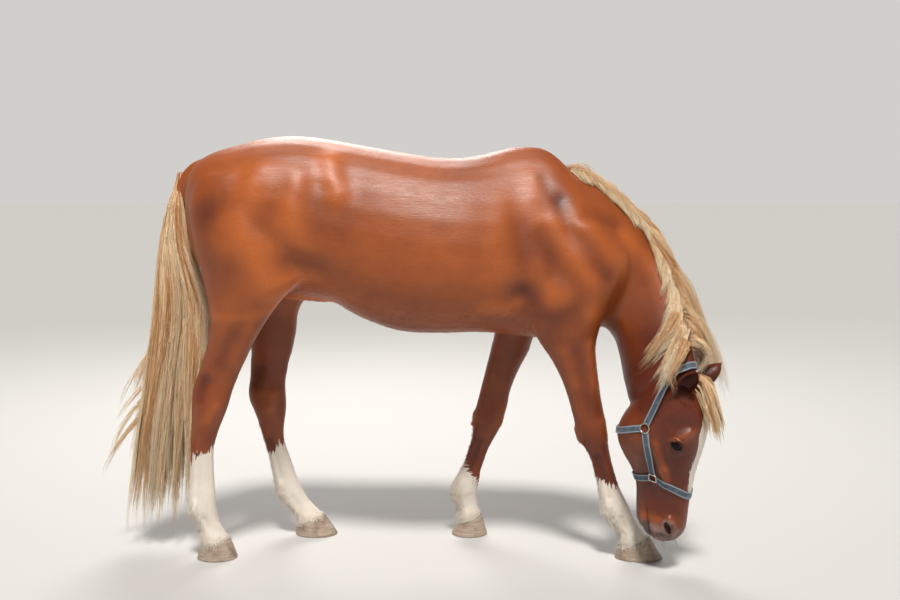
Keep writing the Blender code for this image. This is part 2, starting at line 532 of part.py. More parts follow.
def leg_strokes():
    """Knees, hocks, tendons and fetlocks, worked out from each leg's own sections."""
    strokes = []
    for name, table in LEG_TABLES.items():
        side = SIDE_OF[name.split("_")[1]]
        rows = np.array(table)[::-1]

        def at(z, share, aside):
            """A place on the leg: share 0 is its back and 1 its front, aside 1 its outer face."""
            back, front, centre, half = (np.interp(z, rows[:, 0], rows[:, k]) for k in range(1, 5))
            return (back + (front - back) * share, side * (centre + half * aside), z)

        for aside in (1.0, -1.0):
            tendon = [at(z, 0.36, aside) for z in (0.38, 0.30, 0.23)]
            strokes.append((tendon, 0.010, -0.0055))
            strokes.append(([at(0.200, 0.25, aside), at(0.170, 0.20, aside)], 0.014, 0.0043))
            strokes.append(([at(0.150, 0.55, aside), at(0.120, 0.50, aside)], 0.014, -0.0043))
        if name.startswith("foreleg"):
            strokes.append(([at(0.50, 0.85, 0.5), at(0.45, 0.85, 0.5)], 0.022, 0.0072))
            strokes.append(([at(0.50, 0.85, -0.5), at(0.45, 0.85, -0.5)], 0.022, 0.0072))
            strokes.append(([at(0.475, 0.02, 0.0), at(0.44, 0.02, 0.0)], 0.016, 0.0087))
            strokes.append(([at(0.76, 0.62, 1.0), at(0.66, 0.60, 1.0), at(0.56, 0.55, 1.0)], 0.020, -0.0045))
            strokes.append(([at(0.78, 0.85, 0.8), at(0.64, 0.85, 0.8)], 0.024, 0.0087))
            strokes.append(([at(0.76, 0.30, 1.0), at(0.64, 0.25, 1.0)], 0.024, 0.0058))
        else:
            strokes.append(([at(0.66, 0.28, 1.0), at(0.60, 0.22, 1.0)], 0.018, -0.0090))
            strokes.append(([at(0.66, 0.28, -1.0), at(0.60, 0.22, -1.0)], 0.018, -0.0090))
            strokes.append(([at(0.56, 0.70, 1.0), at(0.51, 0.60, 1.0)], 0.020, 0.0058))
            strokes.append(([at(0.56, 0.70, -1.0), at(0.51, 0.60, -1.0)], 0.020, 0.0072))
            strokes.append(([at(0.86, 0.60, 1.0), at(0.72, 0.52, 1.0)], 0.026, -0.0055))
            strokes.append(([at(0.84, 0.85, 0.8), at(0.72, 0.85, 0.8)], 0.026, 0.0072))
    return strokes


def count_triangles(thing):
    return sum(len(face.vertices) - 2 for face in thing.data.polygons)


def thin_out(skin, group):
    """Fewer triangles where the form is plain, and twice as dense on the head as elsewhere."""
    face = skin.modifiers.new("thin", "DECIMATE")
    face.ratio = FINE_TRIANGLES / count_triangles(skin)
    face.use_collapse_triangulate = True
    skin = evaluated_copy(skin, "skin", group)
    places = vertex_places(skin.data)
    head = np.linalg.norm(places - np.array(head_point(0.28, -0.13, 0)), axis=1) < 0.33
    rest = skin.vertex_groups.new(name="rest")
    rest.add([int(k) for k in np.nonzero(~head)[0]], 1.0, "REPLACE")
    body = skin.modifiers.new("thin", "DECIMATE")
    body.ratio = SKIN_TRIANGLES / count_triangles(skin)
    body.use_collapse_triangulate = True
    body.vertex_group = "rest"
    return evaluated_copy(skin, "skin", group)


def bent_slab(name, line, place, low_aside, high_aside, group):
    """A cut 0.3 mm wide along a bent line of the side view; place turns (u, v, aside) into a point."""
    points = [Vector(p) for p in line]
    normals = []
    for a, b in zip(points, points[1:]):
        onward = (b - a).normalized()
        normals.append(Vector((-onward.y, onward.x)))
    offsets = []
    for k in range(len(points)):
        before, after = normals[max(k - 1, 0)], normals[min(k, len(normals) - 1)]
        mitre = (before + after).normalized()
        offsets.append(mitre * (GAP / 2 / mitre.dot(after)))
    outline = [p - o for p, o in zip(points, offsets)]
    outline += [p + o for p, o in zip(reversed(points), reversed(offsets))]
    rings = [[place(p.x, p.y, aside) for p in outline] for aside in (low_aside, high_aside)]
    return loft(name, rings, group)


def side_view_point(x, z, y):
    return Vector((x, y, z))


# Cuts in the side view, and in the head's own frame behind the ears and the jaws
HEAD_CUT = [(-0.125, 0.000), (-0.050, -0.118), (0.010, -0.172), (0.060, -0.235),
            (0.110, -0.285), (0.200, -0.380)]
TAIL_CUT = [(-1.030, 1.445), (-0.950, 1.388), (-0.972, 1.330), (-0.972, 1.240),
            (-0.967, 1.140), (-0.950, 1.060), (-0.950, 0.980)]
NECK_CUT = [(0.285, 1.560), (0.385, 1.390), (0.560, 1.220), (0.672, 1.120), (0.640, 0.960), (0.560, 0.780)]
LEG_CUTS = {
    "foreleg_right": ((0.250, 0.775), (0.620, 0.775), 0.425),
    "foreleg_left": ((0.100, 0.775), (0.420, 0.775), 0.415),
    "hindleg_right": ((-0.990, 0.930), (-0.560, 0.890), 0.500),
    "hindleg_left": ((-0.930, 0.930), (-0.480, 0.890), 0.480),
}


def cut_slabs(group):
    slabs = [bent_slab("neck_cut", NECK_CUT, side_view_point, -0.4, 0.4, group)]
    slabs.append(bent_slab("head_cut", HEAD_CUT, head_point, -0.2, 0.2, group))
    slabs.append(bent_slab("tail_cut", TAIL_CUT, side_view_point, -0.2, 0.2, group))
    for name, (start, end, joint) in LEG_CUTS.items():
        side = SIDE_OF[name.split("_")[1]]
        low_y, high_y = sorted((side * 0.004, side * 0.34))
        joint_line = ((start[0] - 0.1, joint), (end[0] + 0.1, joint))
        for line in ((start, end), joint_line):
            slabs.append(bent_slab(name + "_cut", line, side_view_point, low_y, high_y, group))
    return slabs


def apply_boolean(target, cutters, operation, solver="EXACT"):
    """Applies one Boolean with all the cutters, which are then removed."""
    tools = make_collection("tools")
    for cutter in cutters:
        for owner in list(cutter.users_collection):
            owner.objects.unlink(cutter)
        tools.objects.link(cutter)
    step = target.modifiers.new("step", "BOOLEAN")
    step.operation = operation
    step.solver = solver
    step.operand_type = "COLLECTION"
    step.collection = tools
    graph = bpy.context.evaluated_depsgraph_get()
    graph.update()
    mesh = bpy.data.meshes.new_from_object(target.evaluated_get(graph))
    target.modifiers.clear()
    old = target.data
    target.data = mesh
    mesh.name = old.name
    mesh.materials.clear()
    if old.materials:
        mesh.materials.append(old.materials[0])
    mesh.polygons.foreach_set("material_index", np.zeros(len(mesh.polygons), dtype=np.int32))
    bpy.data.meshes.remove(old)
    for cutter in cutters:
        bpy.data.objects.remove(cutter, do_unlink=True)
    bpy.data.collections.remove(tools)
    return target


def closed_pieces(mesh):
    """The mesh's separate closed surfaces, each as a list of face indices."""
    shape = bmesh.new()
    shape.from_mesh(mesh)
    shape.faces.ensure_lookup_table()
    seen, pieces = set(), []
    for face in shape.faces:
        if face.index in seen:
            continue
        piece, queue = [], [face]
        seen.add(face.index)
        while queue:
            current = queue.pop()
            piece.append(current.index)
            for edge in current.edges:
                for other in edge.link_faces:
                    if other.index not in seen:
                        seen.add(other.index)
                        queue.append(other)
        pieces.append(piece)
    shape.free()
    return pieces


def mesh_of_faces(name, mesh, faces):
    shape = bmesh.new()
    shape.from_mesh(mesh)
    keep = set(faces)
    drop = [face for face in shape.faces if face.index not in keep]
    bmesh.ops.delete(shape, geom=drop, context="FACES")
    part = bpy.data.meshes.new(name)
    shape.to_mesh(part)
    shape.free()
    for material in mesh.materials:
        part.materials.append(material)
    return part


def tidy_solid(thing):
    """Triangles only, slivers dissolved, and only the largest closed surface."""
    shape = bmesh.new()
    shape.from_mesh(thing.data)
    bmesh.ops.remove_doubles(shape, verts=shape.verts, dist=2e-6)
    bmesh.ops.dissolve_degenerate(shape, dist=2e-6, edges=shape.edges)
    bmesh.ops.triangulate(shape, faces=shape.faces)
    shape.to_mesh(thing.data)
    shape.free()
    pieces = closed_pieces(thing.data)
    if len(pieces) > 1:
        thing.data = mesh_of_faces(thing.name, thing.data, max(pieces, key=len))
    return thing


# Where each fleshed node's middle lies, to name the pieces that the cuts leave
def node_middles():
    middles = {
        "torso": (-0.15, 0, 1.15), "neck": (0.68, -0.03, 0.98), "head": head_point(0.30, -0.14, 0),
        "tail": (-1.01, 0, 1.24),
    }
    for name, (start, end, joint) in LEG_CUTS.items():
        rows = np.array(LEG_TABLES[name])[::-1]
        side = SIDE_OF[name.split("_")[1]]
        for part, z in (("upper", (start[1] + joint) / 2), ("lower", joint / 2)):
            x = (np.interp(z, rows[:, 0], rows[:, 1]) + np.interp(z, rows[:, 0], rows[:, 2])) / 2
            middles[name + "_" + part] = (x, side * 0.14, z)
    return middles


def part_skin(skin, group, special, coat):
    """Names the closed pieces left by the cuts; special holds materials by the last word of a name."""
    nodes = {}
    middles = node_middles()
    places = vertex_places(skin.data)
    for faces in closed_pieces(skin.data):
        corners = sorted({v for face in faces for v in skin.data.polygons[face].vertices})
        low, high = places[corners].min(axis=0), places[corners].max(axis=0)
        middle = (low + high) / 2
        name = min(middles, key=lambda key: np.linalg.norm(np.array(middles[key]) - middle))
        if name in nodes and len(nodes[name].data.polygons) > len(faces):
            continue
        if name in nodes:
            bpy.data.objects.remove(nodes[name], do_unlink=True)
        material = special.get(name.split("_")[-1], coat)
        nodes[name] = make_object(name, mesh_of_faces(name, skin.data, faces), group, material)
    bpy.data.objects.remove(skin, do_unlink=True)
    return nodes


def hoof_outline(heel, toe, centre_y, half_width, count=16):
    """The hoof seen from above: round at the toe, narrower and flatter at the heel."""
    points = []
    length = toe - heel
    for k in range(count):
        angle = 2 * math.pi * k / count
        ahead, aside = math.cos(angle), math.sin(angle)
        squareness = 0.80 if ahead < 0 else 0.95
        reach = 0.54 if ahead > 0 else 0.46
        x = heel + length * (0.46 + reach * math.copysign(abs(ahead) ** squareness, ahead))
        width = half_width * (1.0 - 0.16 * max(0.0, -ahead))
        points.append((x, centre_y + width * math.copysign(abs(aside) ** 0.9, aside)))
    return points


def make_hoof(name, group, material):
    """A flat-soled hoof whose top slopes from the toe down to the heel along the coronet."""
    ground_heel, ground_toe, top_heel, top_toe = HOOVES[name]
    centre = SIDE_OF[name.split("_")[1]] * 0.139
    levels = []
    for share, bulge in ((0.0, 0.985), (0.08, 1.0), (0.93, 1.0), (1.0, 0.97)):
        heel = ground_heel + (top_heel - ground_heel) * share
        toe = ground_toe + (top_toe - ground_toe) * share
        half = (HOOF_HALF_WIDTH + (0.048 - HOOF_HALF_WIDTH) * share) * bulge
        ring = []
        for x, y in hoof_outline(heel, toe, centre, half):
            along = (x - heel) / (toe - heel)
            ring.append((x, y, share * (CORONET_HEEL + (CORONET_TOE - CORONET_HEEL) * along)))
        levels.append(ring)
    hoof = loft(name + "_hoof", levels, group)
    hoof.data.materials.append(material)
    return hoof


def below_coronet(name, group):
    """The space under a leg's coronet, to cut the leg off above its hoof."""
    heel, toe = HOOVES[name][2:]
    centre = SIDE_OF[name.split("_")[1]] * 0.139
    slope = (CORONET_TOE - CORONET_HEEL) / (toe - heel)
    rings = []
    for depth in (0.20, 0.0):
        ring = []
        for x, y in ((heel - 0.10, -0.12), (toe + 0.10, -0.12), (toe + 0.10, 0.12), (heel - 0.10, 0.12)):
            ring.append((x, centre + y, CORONET_HEEL + slope * (x - heel) + GAP - depth))
        rings.append(ring)
    return loft(name + "_coronet_cut", rings, group)


def make_ball(name, centre, radius, group, segments=20, rings=14, stretch=(1, 1, 1), turn=None):
    shape = bmesh.new()
    bmesh.ops.create_uvsphere(shape, u_segments=segments, v_segments=rings, radius=radius)
    place = Matrix.Translation(centre) @ (turn or Matrix.Identity(4)) @ Matrix.Diagonal((*stretch, 1))
    bmesh.ops.transform(shape, matrix=place, verts=shape.verts)
    mesh = bpy.data.meshes.new(name)
    shape.to_mesh(mesh)
    shape.free()
    return make_object(name, mesh, group)


def swept(name, path, radii, group, sides=6, flat=1.0, facing=None):
    """A closed tube along a path, tapering as the radii say; flat below 1 thins it."""
    path = [Vector(p) for p in path]
    rings = []
    for k, point in enumerate(path):
        onward = (path[min(k + 1, len(path) - 1)] - path[max(k - 1, 0)]).normalized()
        up = Vector(facing[k]) if facing else Vector((0, 0, 1))
        across = onward.cross(up)
        if across.length < 1e-4:
            across = onward.cross(Vector((0, 1, 0)))
        across.normalize()
        up = across.cross(onward).normalized()
        ring = []
        for n in range(sides):
            angle = 2 * math.pi * n / sides
            ring.append(point + across * radii[k] * math.cos(angle) + up * radii[k] * flat * math.sin(angle))
        rings.append(ring)
    return loft(name, rings, group)


def eye_frame(side):
    """The eyeball's centre, and its outward, rearward and upward directions."""
    down_face, out_of_face, to_left = head_axes()
    outward = (to_left * side + out_of_face * 0.28).normalized()
    upward = (-down_face + out_of_face * 0.45).normalized()
    rearward = outward.cross(upward) * side
    upward = rearward.cross(outward).normalized() * side
    if upward.dot(-down_face) < 0:
        upward.negate()
    down, out, aside = EYE_PLACE
    return head_point(down, out, aside * side), outward, rearward.normalized(), upward


def lid_ball(side, group):
    """The swelling over the eyeball that the lids are cut from."""
    centre, outward, rearward, upward = eye_frame(side)
    return make_ball("lids", centre, EYE_RADIUS + LID_THICKNESS, group, 16, 10)


def eye_opening(side, group):
    """An almond prism, from the eyeball's middle outwards, that parts the upper and lower lid."""
    centre, outward, rearward, upward = eye_frame(side)
    outline = []
    for k in range(14):
        angle = 2 * math.pi * k / 14
        along, across = math.cos(angle), math.sin(angle)
        height = EYE_SLIT[1] if across > 0 else EYE_SLIT[2]
        rise = height * math.copysign(abs(across) ** 1.3, across)
        outline.append(rearward * EYE_SLIT[0] * along + upward * rise)
    rings = []
    for reach, share in ((0.008, 0.9), (0.045, 1.35)):
        rings.append([centre + spot * share + outward * reach for spot in outline])
    return loft("opening", rings, group)


def ear_frame(side):
    """Root, direction of growth, direction of the opening and the width direction of an ear."""
    down_face, out_of_face, to_left = head_axes()
    lean, spread_out, turn_out = EAR_STANCE[side]
    growth = (-down_face + out_of_face * lean + to_left * side * spread_out).normalized()
    opening = (to_left * side * math.sin(turn_out) + out_of_face * math.cos(turn_out))
    opening = (opening - growth * opening.dot(growth)).normalized()
    down, out, aside = EAR_PLACE
    return head_point(down, out, aside * side), growth, opening, growth.cross(opening).normalized()


def ear_rings(side, steps, arc_points):
    """Crescent sections from the solid root to the pointed tip, open to the front."""
    root, growth, opening, across = ear_frame(side)
    length = EAR_LENGTHS[side]
    rings = []
    for k in range(steps + 1):
        share = k / steps
        climb = (length + EAR_ROOT_DEPTH) * share - EAR_ROOT_DEPTH
        rise = max(climb, 0) / length
        width = EAR_WIDTH * (0.72 + 0.9 * rise - 0.35 * rise ** 2) * (1 - rise ** 3.2) ** 0.75
        width = max(width, 0.0035)
        depth = width * (1.0 - 0.35 * rise)
        hollow = min(max((rise - 0.06) / 0.22, 0), 1)
        wall = min(0.0045, width * 0.42)
        bend = 0.016 * rise * rise
        middle = root + growth * climb + opening * bend
        outer, inner = [], []
        for n in range(arc_points):
            angle = math.radians(-28 + 236 * n / (arc_points - 1))
            outer.append(middle + across * width * math.cos(angle) - opening * depth * math.sin(angle))
        for n in reversed(range(arc_points)):
            angle = math.radians(-22 + 224 * n / (arc_points - 1))
            reach = depth - wall if math.sin(angle) > 0 else depth
            sink = math.sin(angle) * (hollow if math.sin(angle) > 0 else 1)
            inner.append(middle + across * (width - wall) * math.cos(angle) - opening * reach * sink)
        rings.append(outer + inner)
    return rings


def split_faces(thing):
    """Splits every face into triangles, so that a grown copy is split alike."""
    shape = bmesh.new()
    shape.from_mesh(thing.data)
    bmesh.ops.triangulate(shape, faces=shape.faces)
    shape.to_mesh(thing.data)
    shape.free()


def make_ear(side, label, group, material, grow=0.0):
    ear = loft("ear_" + label, ear_rings(side, 8, 7), group)
    split_faces(ear)
    if grow:
        places, normals = vertex_places(ear.data), vertex_normals(ear.data)
        set_places(ear.data, places + normals * grow)
    if material:
        ear.data.materials.append(material)
    return ear


def make_eye(side, label, group, material):
    centre, outward, rearward, upward = eye_frame(side)
    eye = make_ball("eye_" + label, centre, EYE_RADIUS, group, 12, 8)
    eye.data.materials.append(material)
    return eye


def nostril_cutter(side, group):
    """A slanted egg that hollows one nostril."""
    down_face, out_of_face, to_left = head_axes()
    along = (down_face + out_of_face * 0.45 - to_left * side * 0.35).normalized()
    inward = (to_left * side + out_of_face * 0.5).normalized()
    inward = (inward - along * inward.dot(along)).normalized()
    turn = Matrix((along, inward.cross(along), inward)).transposed().to_4x4()
    down, out, aside = NOSTRIL_PLACE
    centre = head_point(down, out, aside * side)
    return make_ball("nostril", centre, 0.0125, group, 14, 8, (1.75, 0.80, 1.25), turn)


def surface_path(tree, points, lift=0.0):
    """The points moved on to the surface, or lifted off it."""
    path = []
    for point in points:
        place, normal, _, _ = tree.find_nearest(Vector(point))
        path.append(place + normal * lift)
    return path


def mouth_cutter(tree, group):
    """A thin groove round the muzzle from one corner of the mouth to the other."""
    right = [Vector(p) for p in head_path(MOUTH_LINE, RIGHT)]
    left = [Vector(p) for p in head_path(MOUTH_LINE, LEFT)]
    line = surface_path(tree, right + left[:-1][::-1])
    radii = [0.0015 + 0.0022 * min(1, 0.4 * min(k, len(line) - 1 - k)) for k in range(len(line))]
    return swept("mouth", line, radii, group, sides=6, flat=0.8)


def tree_of(things):
    places, faces = [], []
    for thing in things:
        start = len(places)
        places += [v.co.copy() for v in thing.data.vertices]
        faces += [[start + v for v in face.vertices] for face in thing.data.polygons]
    return BVHTree.FromPolygons(places, faces)


def finish_head(head, group):
    tree = tree_of([head])
    apply_boolean(head, [lid_ball(side, group) for side in (RIGHT, LEFT)], "UNION")
    cutters = [mouth_cutter(tree, group)]
    for side in (RIGHT, LEFT):
        cutters.append(make_ball("socket", eye_frame(side)[0], EYE_RADIUS + GAP, group, 12, 8))
        cutters.append(eye_opening(side, group))
        cutters.append(nostril_cutter(side, group))
    for cutter in cutters:
        apply_boolean(head, [cutter], "DIFFERENCE")
    return head


# Halter: places in the head's own frame, on the right side, mirrored for the left
STRAP_WIDTH, STRAP_THICKNESS, STRAP_LIFT = 0.025, 0.0030, 0.0016
ROUND_RING = (0.165, -0.172, 0.101)
SQUARE_RING = (0.338, -0.122, 0.064)
RING_RADIUS, RING_WIRE = 0.0165, 0.0030
SQUARE_RADIUS, SQUARE_WIRE = 0.0200, 0.0028
CROWN_STRAP = [ROUND_RING, (0.138, -0.167, 0.098), (0.086, -0.154, 0.092), (0.030, -0.142, 0.086),
               (-0.018, -0.132, 0.072), (-0.046, -0.120, 0.048), (-0.062, -0.102, 0.022),
               (-0.066, -0.094, 0.000)]
THROAT_STRAP = [ROUND_RING, (0.187, -0.228, 0.094), (0.212, -0.275, 0.066), (0.222, -0.305, 0.030),
                (0.225, -0.312, 0.000)]
CHEEK_STRAP = [ROUND_RING, (0.205, -0.158, 0.102), (0.243, -0.144, 0.100), (0.300, -0.130, 0.082),
               SQUARE_RING]
NOSE_STRAP = [SQUARE_RING, (0.348, -0.080, 0.064), (0.358, -0.040, 0.057), (0.374, -0.008, 0.032),
              (0.384, 0.002, 0.000)]
CHIN_STRAP = [SQUARE_RING, (0.350, -0.150, 0.060), (0.362, -0.185, 0.044), (0.368, -0.212, 0.022),
              (0.370, -0.220, 0.000)]


def across_head(points):
    """A strap's places from the right ring round to the left one."""
    right = [head_point(down, out, -aside) for down, out, aside in points]
    left = [head_point(down, out, aside) for down, out, aside in points]
    return right + left[:-1][::-1]


def fine_path(points, step):
    """Places at an even step along a smooth line through the points."""
    dense = spread([tuple(p) for p in points], 12)
    lengths = np.concatenate([[0], np.cumsum(np.linalg.norm(np.diff(dense, axis=0), axis=1))])
    count = max(2, int(round(lengths[-1] / step)))
    wanted = np.linspace(0, lengths[-1], count + 1)
    dense = np.array(dense)
    return [Vector([np.interp(w, lengths, dense[:, k]) for k in range(3)]) for w in wanted]


def height_over(tree, point):
    """How far the point is outside the surface, with the surface's normal there."""
    place, normal, _, _ = tree.find_nearest(point)
    away = point - place
    inside = away.dot(normal) < 0
    return (-away.length if inside else away.length), place, normal


def clear_of_ears(point):
    """The point moved sideways off the ears' roots, so that a strap there passes behind them."""
    for side in (RIGHT, LEFT):
        root, growth, _, _ = ear_frame(side)
        along = max(-0.03, min(0.06, (point - root).dot(growth)))
        away = point - (root + growth * along)
        if away.length < EAR_CLEARANCE:
            point = point + away.normalized() * (EAR_CLEARANCE - away.length)
    return point


def pulled_taut(tree, path, lift, rounds=10):
    """The path tightened like a strap, but never nearer to the surface than the lift."""
    path = [p.copy() for p in path]
    for _ in range(rounds):
        for k in range(1, len(path) - 1):
            path[k] = clear_of_ears(path[k].lerp((path[k - 1] + path[k + 1]) / 2, 0.5))
            height, place, normal = height_over(tree, path[k])
            if height < lift:
                path[k] = place + normal * lift
    return path


def trimmed(path, start_gap, end_gap):
    """The path without the stretches that lie inside the rings at its ends."""
    start, end = path[0], path[-1]
    inner = [p for p in path if (p - start).length > start_gap * 1.25 and (p - end).length > end_gap * 1.25]
    first = start + (inner[0] - start).normalized() * start_gap
    last = end + (inner[-1] - end).normalized() * end_gap
    return [first] + inner + [last]


def strap_mesh(name, tree, points, gaps, width, group, material, step=0.016, lift=STRAP_LIFT):
    """A flat strap along the points that clears the surface along both its edges."""
    path = trimmed(pulled_taut(tree, fine_path(points, step), lift), *gaps)
    normals = [height_over(tree, p)[2] for p in path]
    for _ in range(3):
        normals = [(normals[max(k - 1, 0)] + n + normals[min(k + 1, len(path) - 1)]).normalized()
                   for k, n in enumerate(normals)]
    rings = []
    for k, point in enumerate(path):
        onward = (path[min(k + 1, len(path) - 1)] - path[max(k - 1, 0)]).normalized()
        up = (normals[k] - onward * normals[k].dot(onward)).normalized()
        across = onward.cross(up).normalized()
        spots = [across * width * share + onward * step * along
                 for share in (-0.5, -0.25, 0, 0.25, 0.5) for along in (-0.5, 0, 0.5)]
        base = point
        for _ in range(4):
            base = base + up * max(0.0, lift - min(height_over(tree, base + spot)[0] for spot in spots))
        top = base + up * STRAP_THICKNESS
        half = across * width / 2
        rings.append([base - half, base + half, top + half, top - half])
    strap = loft(name, rings, group)
    strap.data.materials.append(material)
    return strap


def ring_mesh(name, tree, place, radius, wire, segments, group, material, grow=0.0):
    """A wire ring lying flat over the surface; four segments make a square one."""
    height, surface, normal = height_over(tree, place)
    along = head_axes()[0]
    along = (along - normal * along.dot(normal)).normalized()
    turn = Matrix((along, normal.cross(along), normal)).transposed().to_4x4()
    corner = Matrix.Rotation(math.pi / 4, 4, "Z") if segments == 4 else Matrix.Identity(4)
    centre = surface + normal * (STRAP_LIFT + wire)
    angles = [2 * math.pi * k / 8 for k in range(8)]
    circle = [turn @ Vector((math.cos(a) * radius, math.sin(a) * radius, 0)) for a in angles]
    for _ in range(3):
        lowest = min(height_over(tree, centre + spot)[0] for spot in circle)
        centre = centre + normal * max(0.0, STRAP_LIFT + wire - lowest)
    bpy.ops.mesh.primitive_torus_add(major_segments=segments, minor_segments=6,
                                     major_radius=radius, minor_radius=wire + grow)
    ring = bpy.context.object
    ring.name = name
    ring.data.transform(Matrix.Translation(centre) @ turn @ corner)
    for owner in list(ring.users_collection):
        owner.objects.unlink(ring)
    group.objects.link(ring)
    if material:
        ring.data.materials.append(material)
    return ring


def make_halter(tree, group, webbing, metal):
    """Crown, throat, nose and chin straps, two cheek straps, and the rings that join them."""
    square_reach = SQUARE_RADIUS * math.sqrt(0.5)
    round_pair, square_pair = (RING_RADIUS, RING_RADIUS), (square_reach, square_reach)
    straps = {
        "halter_crown_strap": (across_head(CROWN_STRAP), round_pair),
        "halter_throat_strap": (across_head(THROAT_STRAP), round_pair),
        "halter_noseband": (across_head(NOSE_STRAP), square_pair),
        "halter_chin_strap": (across_head(CHIN_STRAP), square_pair),
        "halter_cheek_right": (head_path(CHEEK_STRAP, RIGHT), (RING_RADIUS, square_reach)),
        "halter_cheek_left": (head_path(CHEEK_STRAP, LEFT), (RING_RADIUS, square_reach)),
    }
    nodes = {}
    for name, (points, gaps) in straps.items():
        lift = STRAP_LIFT * (2.2 if name == "halter_crown_strap" else 1.0)
        nodes[name] = strap_mesh(name, tree, points, gaps, STRAP_WIDTH, group, webbing, lift=lift)
    kinds = (("round", ROUND_RING, RING_RADIUS, RING_WIRE, 14),
             ("square", SQUARE_RING, SQUARE_RADIUS, SQUARE_WIRE, 4))
    for side, label in ((RIGHT, "right"), (LEFT, "left")):
        for kind, place, radius, wire, segments in kinds:
            centre = head_point(place[0], place[1], place[2] * side)
            name = "halter_" + kind + "_ring_" + label
            nodes[name] = ring_mesh(name, tree, centre, radius, wire, segments, group, metal)
            for strap, (points, _) in straps.items():
                if min((Vector(p) - centre).length for p in (points[0], points[-1])) < 0.01:
                    opening = ring_mesh("opening", tree, centre, radius, wire, segments, group,
                                        None, grow=GAP)
                    apply_boolean(nodes[strap], [opening], "DIFFERENCE")
                    tidy_solid(nodes[strap])
    return nodes


# Hair. A lock is a flat tapered sweep; its root is sunk in the node that it grows from.
MANE_LOCKS = 18             # on the far side, from the withers to the poll
FRINGE_LOCKS = 8            # short ones on the near side of the upper crest
STRAND_LOCKS = 4            # long ones on the near side by the head
FORELOCK_LOCKS = 7
TAIL_LOCKS = 14
TAIL_WISPS = 4
HAIR_LIFT = 0.006           # between the skin and the middle of a lock that lies on it
DOWN = Vector((0, 0, -1))
GOLDEN_ANGLE = math.pi * (3 - math.sqrt(5))   # spreads the tail's locks evenly round the dock
# Tail outline: z, front x, back x, half width sideways
TAIL_FLOW = [
    (1.400, -0.976, -0.990, 0.014), (1.330, -0.978, -1.026, 0.034), (1.250, -0.978, -1.050, 0.044),
    (1.150, -0.974, -1.062, 0.052), (1.070, -0.954, -1.070, 0.056), (1.000, -0.926, -1.078, 0.058),
    (0.880, -0.900, -1.092, 0.060), (0.740, -0.914, -1.110, 0.064), (0.560, -0.930, -1.140, 0.068),
    (0.360, -0.942, -1.180, 0.066), (0.200, -0.950, -1.206, 0.060), (0.060, -0.960, -1.228, 0.052),
]


def crest_frame(share):
    """Place on the crest, its outward direction, its run towards the head and its left direction."""
    rows = spread(NECK, 8)
    where = 7 + share * (len(rows) - 24)
    low = int(where)
    row = rows[low] + (rows[low + 1] - rows[low]) * (where - low)
    onward = Vector(rows[low + 1][:3] - rows[low][:3]).normalized()
    outward = Vector(row[:3] - row[3:6])
    outward = (outward - onward * outward.dot(onward)).normalized()
    left = onward.cross(outward).normalized()
    return Vector(row[:3]), outward, onward, left if left.y > 0 else -left


def lock(name, path, normals, width, thick, group):
    """One flat lock: narrow at the sunk root, widest in its first third and pointed at the tip."""
    radii = []
    for k in range(len(path)):
        share = k / (len(path) - 1)
        radii.append(width / 2 * (0.56 + 1.5 * share - 0.7 * share ** 2) * (1.04 - share) ** 0.6)
    return swept(name, path, radii, group, sides=4, flat=thick / width, facing=normals)


def marched(tree, start, heading, length, steps, pull, drift, lift=HAIR_LIFT, sunk=0.020):
    """A path that leaves the skin at the start, falls under its weight and lies over the skin."""
    path, normals = [start - heading * sunk], [height_over(tree, start)[2]]
    place, going = start, heading.normalized()
    for k in range(steps):
        going = (going * (1 - pull) + (DOWN + drift) * pull).normalized()
        place = place + going * (length / steps)
        height, surface, normal = height_over(tree, place)
        if height < lift:
            place = surface + normal * lift
        path.append(place)
        normals.append(normal)
    return path, normals


def mane_locks(tree, draw, group):
    """Far-side locks, a short near-side fringe and the long strands by the head."""
    locks = []
    for k in range(MANE_LOCKS):
        share = (k + 0.3) / MANE_LOCKS
        place, outward, onward, left = crest_frame(share)
        heading = (outward * 1.2 + left * draw.uniform(0.15, 0.45) + onward * 0.35).normalized()
        length = (0.120 + 0.170 * min(1, share * 1.8)) * draw.uniform(0.88, 1.12)
        start = place - outward * 0.006 + left * draw.uniform(-0.005, 0.005)
        drift = left * draw.uniform(0.3, 0.6) - outward * draw.uniform(0.25, 0.55)
        path, _ = marched(tree, start, heading, length, 4 if share < 0.3 else 5, 0.42, drift)
        locks.append(lock("mane", path, [left] * len(path), draw.uniform(0.064, 0.074), 0.014, group))
    for k in range(FRINGE_LOCKS):
        place, outward, onward, left = crest_frame(0.03 + 0.66 * (k + 0.5) / FRINGE_LOCKS)
        heading = (outward * 0.9 - left * draw.uniform(0.4, 0.7) + onward * 0.3).normalized()
        start = place - outward * 0.006 - left * 0.005
        drift = -left * 0.4 - outward * 0.3
        path, _ = marched(tree, start, heading, draw.uniform(0.095, 0.120), 4, 0.45, drift)
        locks.append(lock("fringe", path, [left] * len(path), draw.uniform(0.058, 0.070), 0.012, group))
    for k in range(STRAND_LOCKS):
        place, outward, onward, left = crest_frame(0.72 + 0.26 * (k + 0.5) / STRAND_LOCKS)
        heading = (outward * 0.6 - left * 0.8).normalized()
        start = place - outward * 0.006 - left * 0.008
        drift = -outward * 0.70 - left * 0.1
        path, _ = marched(tree, start, heading, draw.uniform(0.20, 0.28), 5, 0.42, drift)
        locks.append(lock("strand", path, [left] * len(path), draw.uniform(0.040, 0.050), 0.011, group))
    return locks


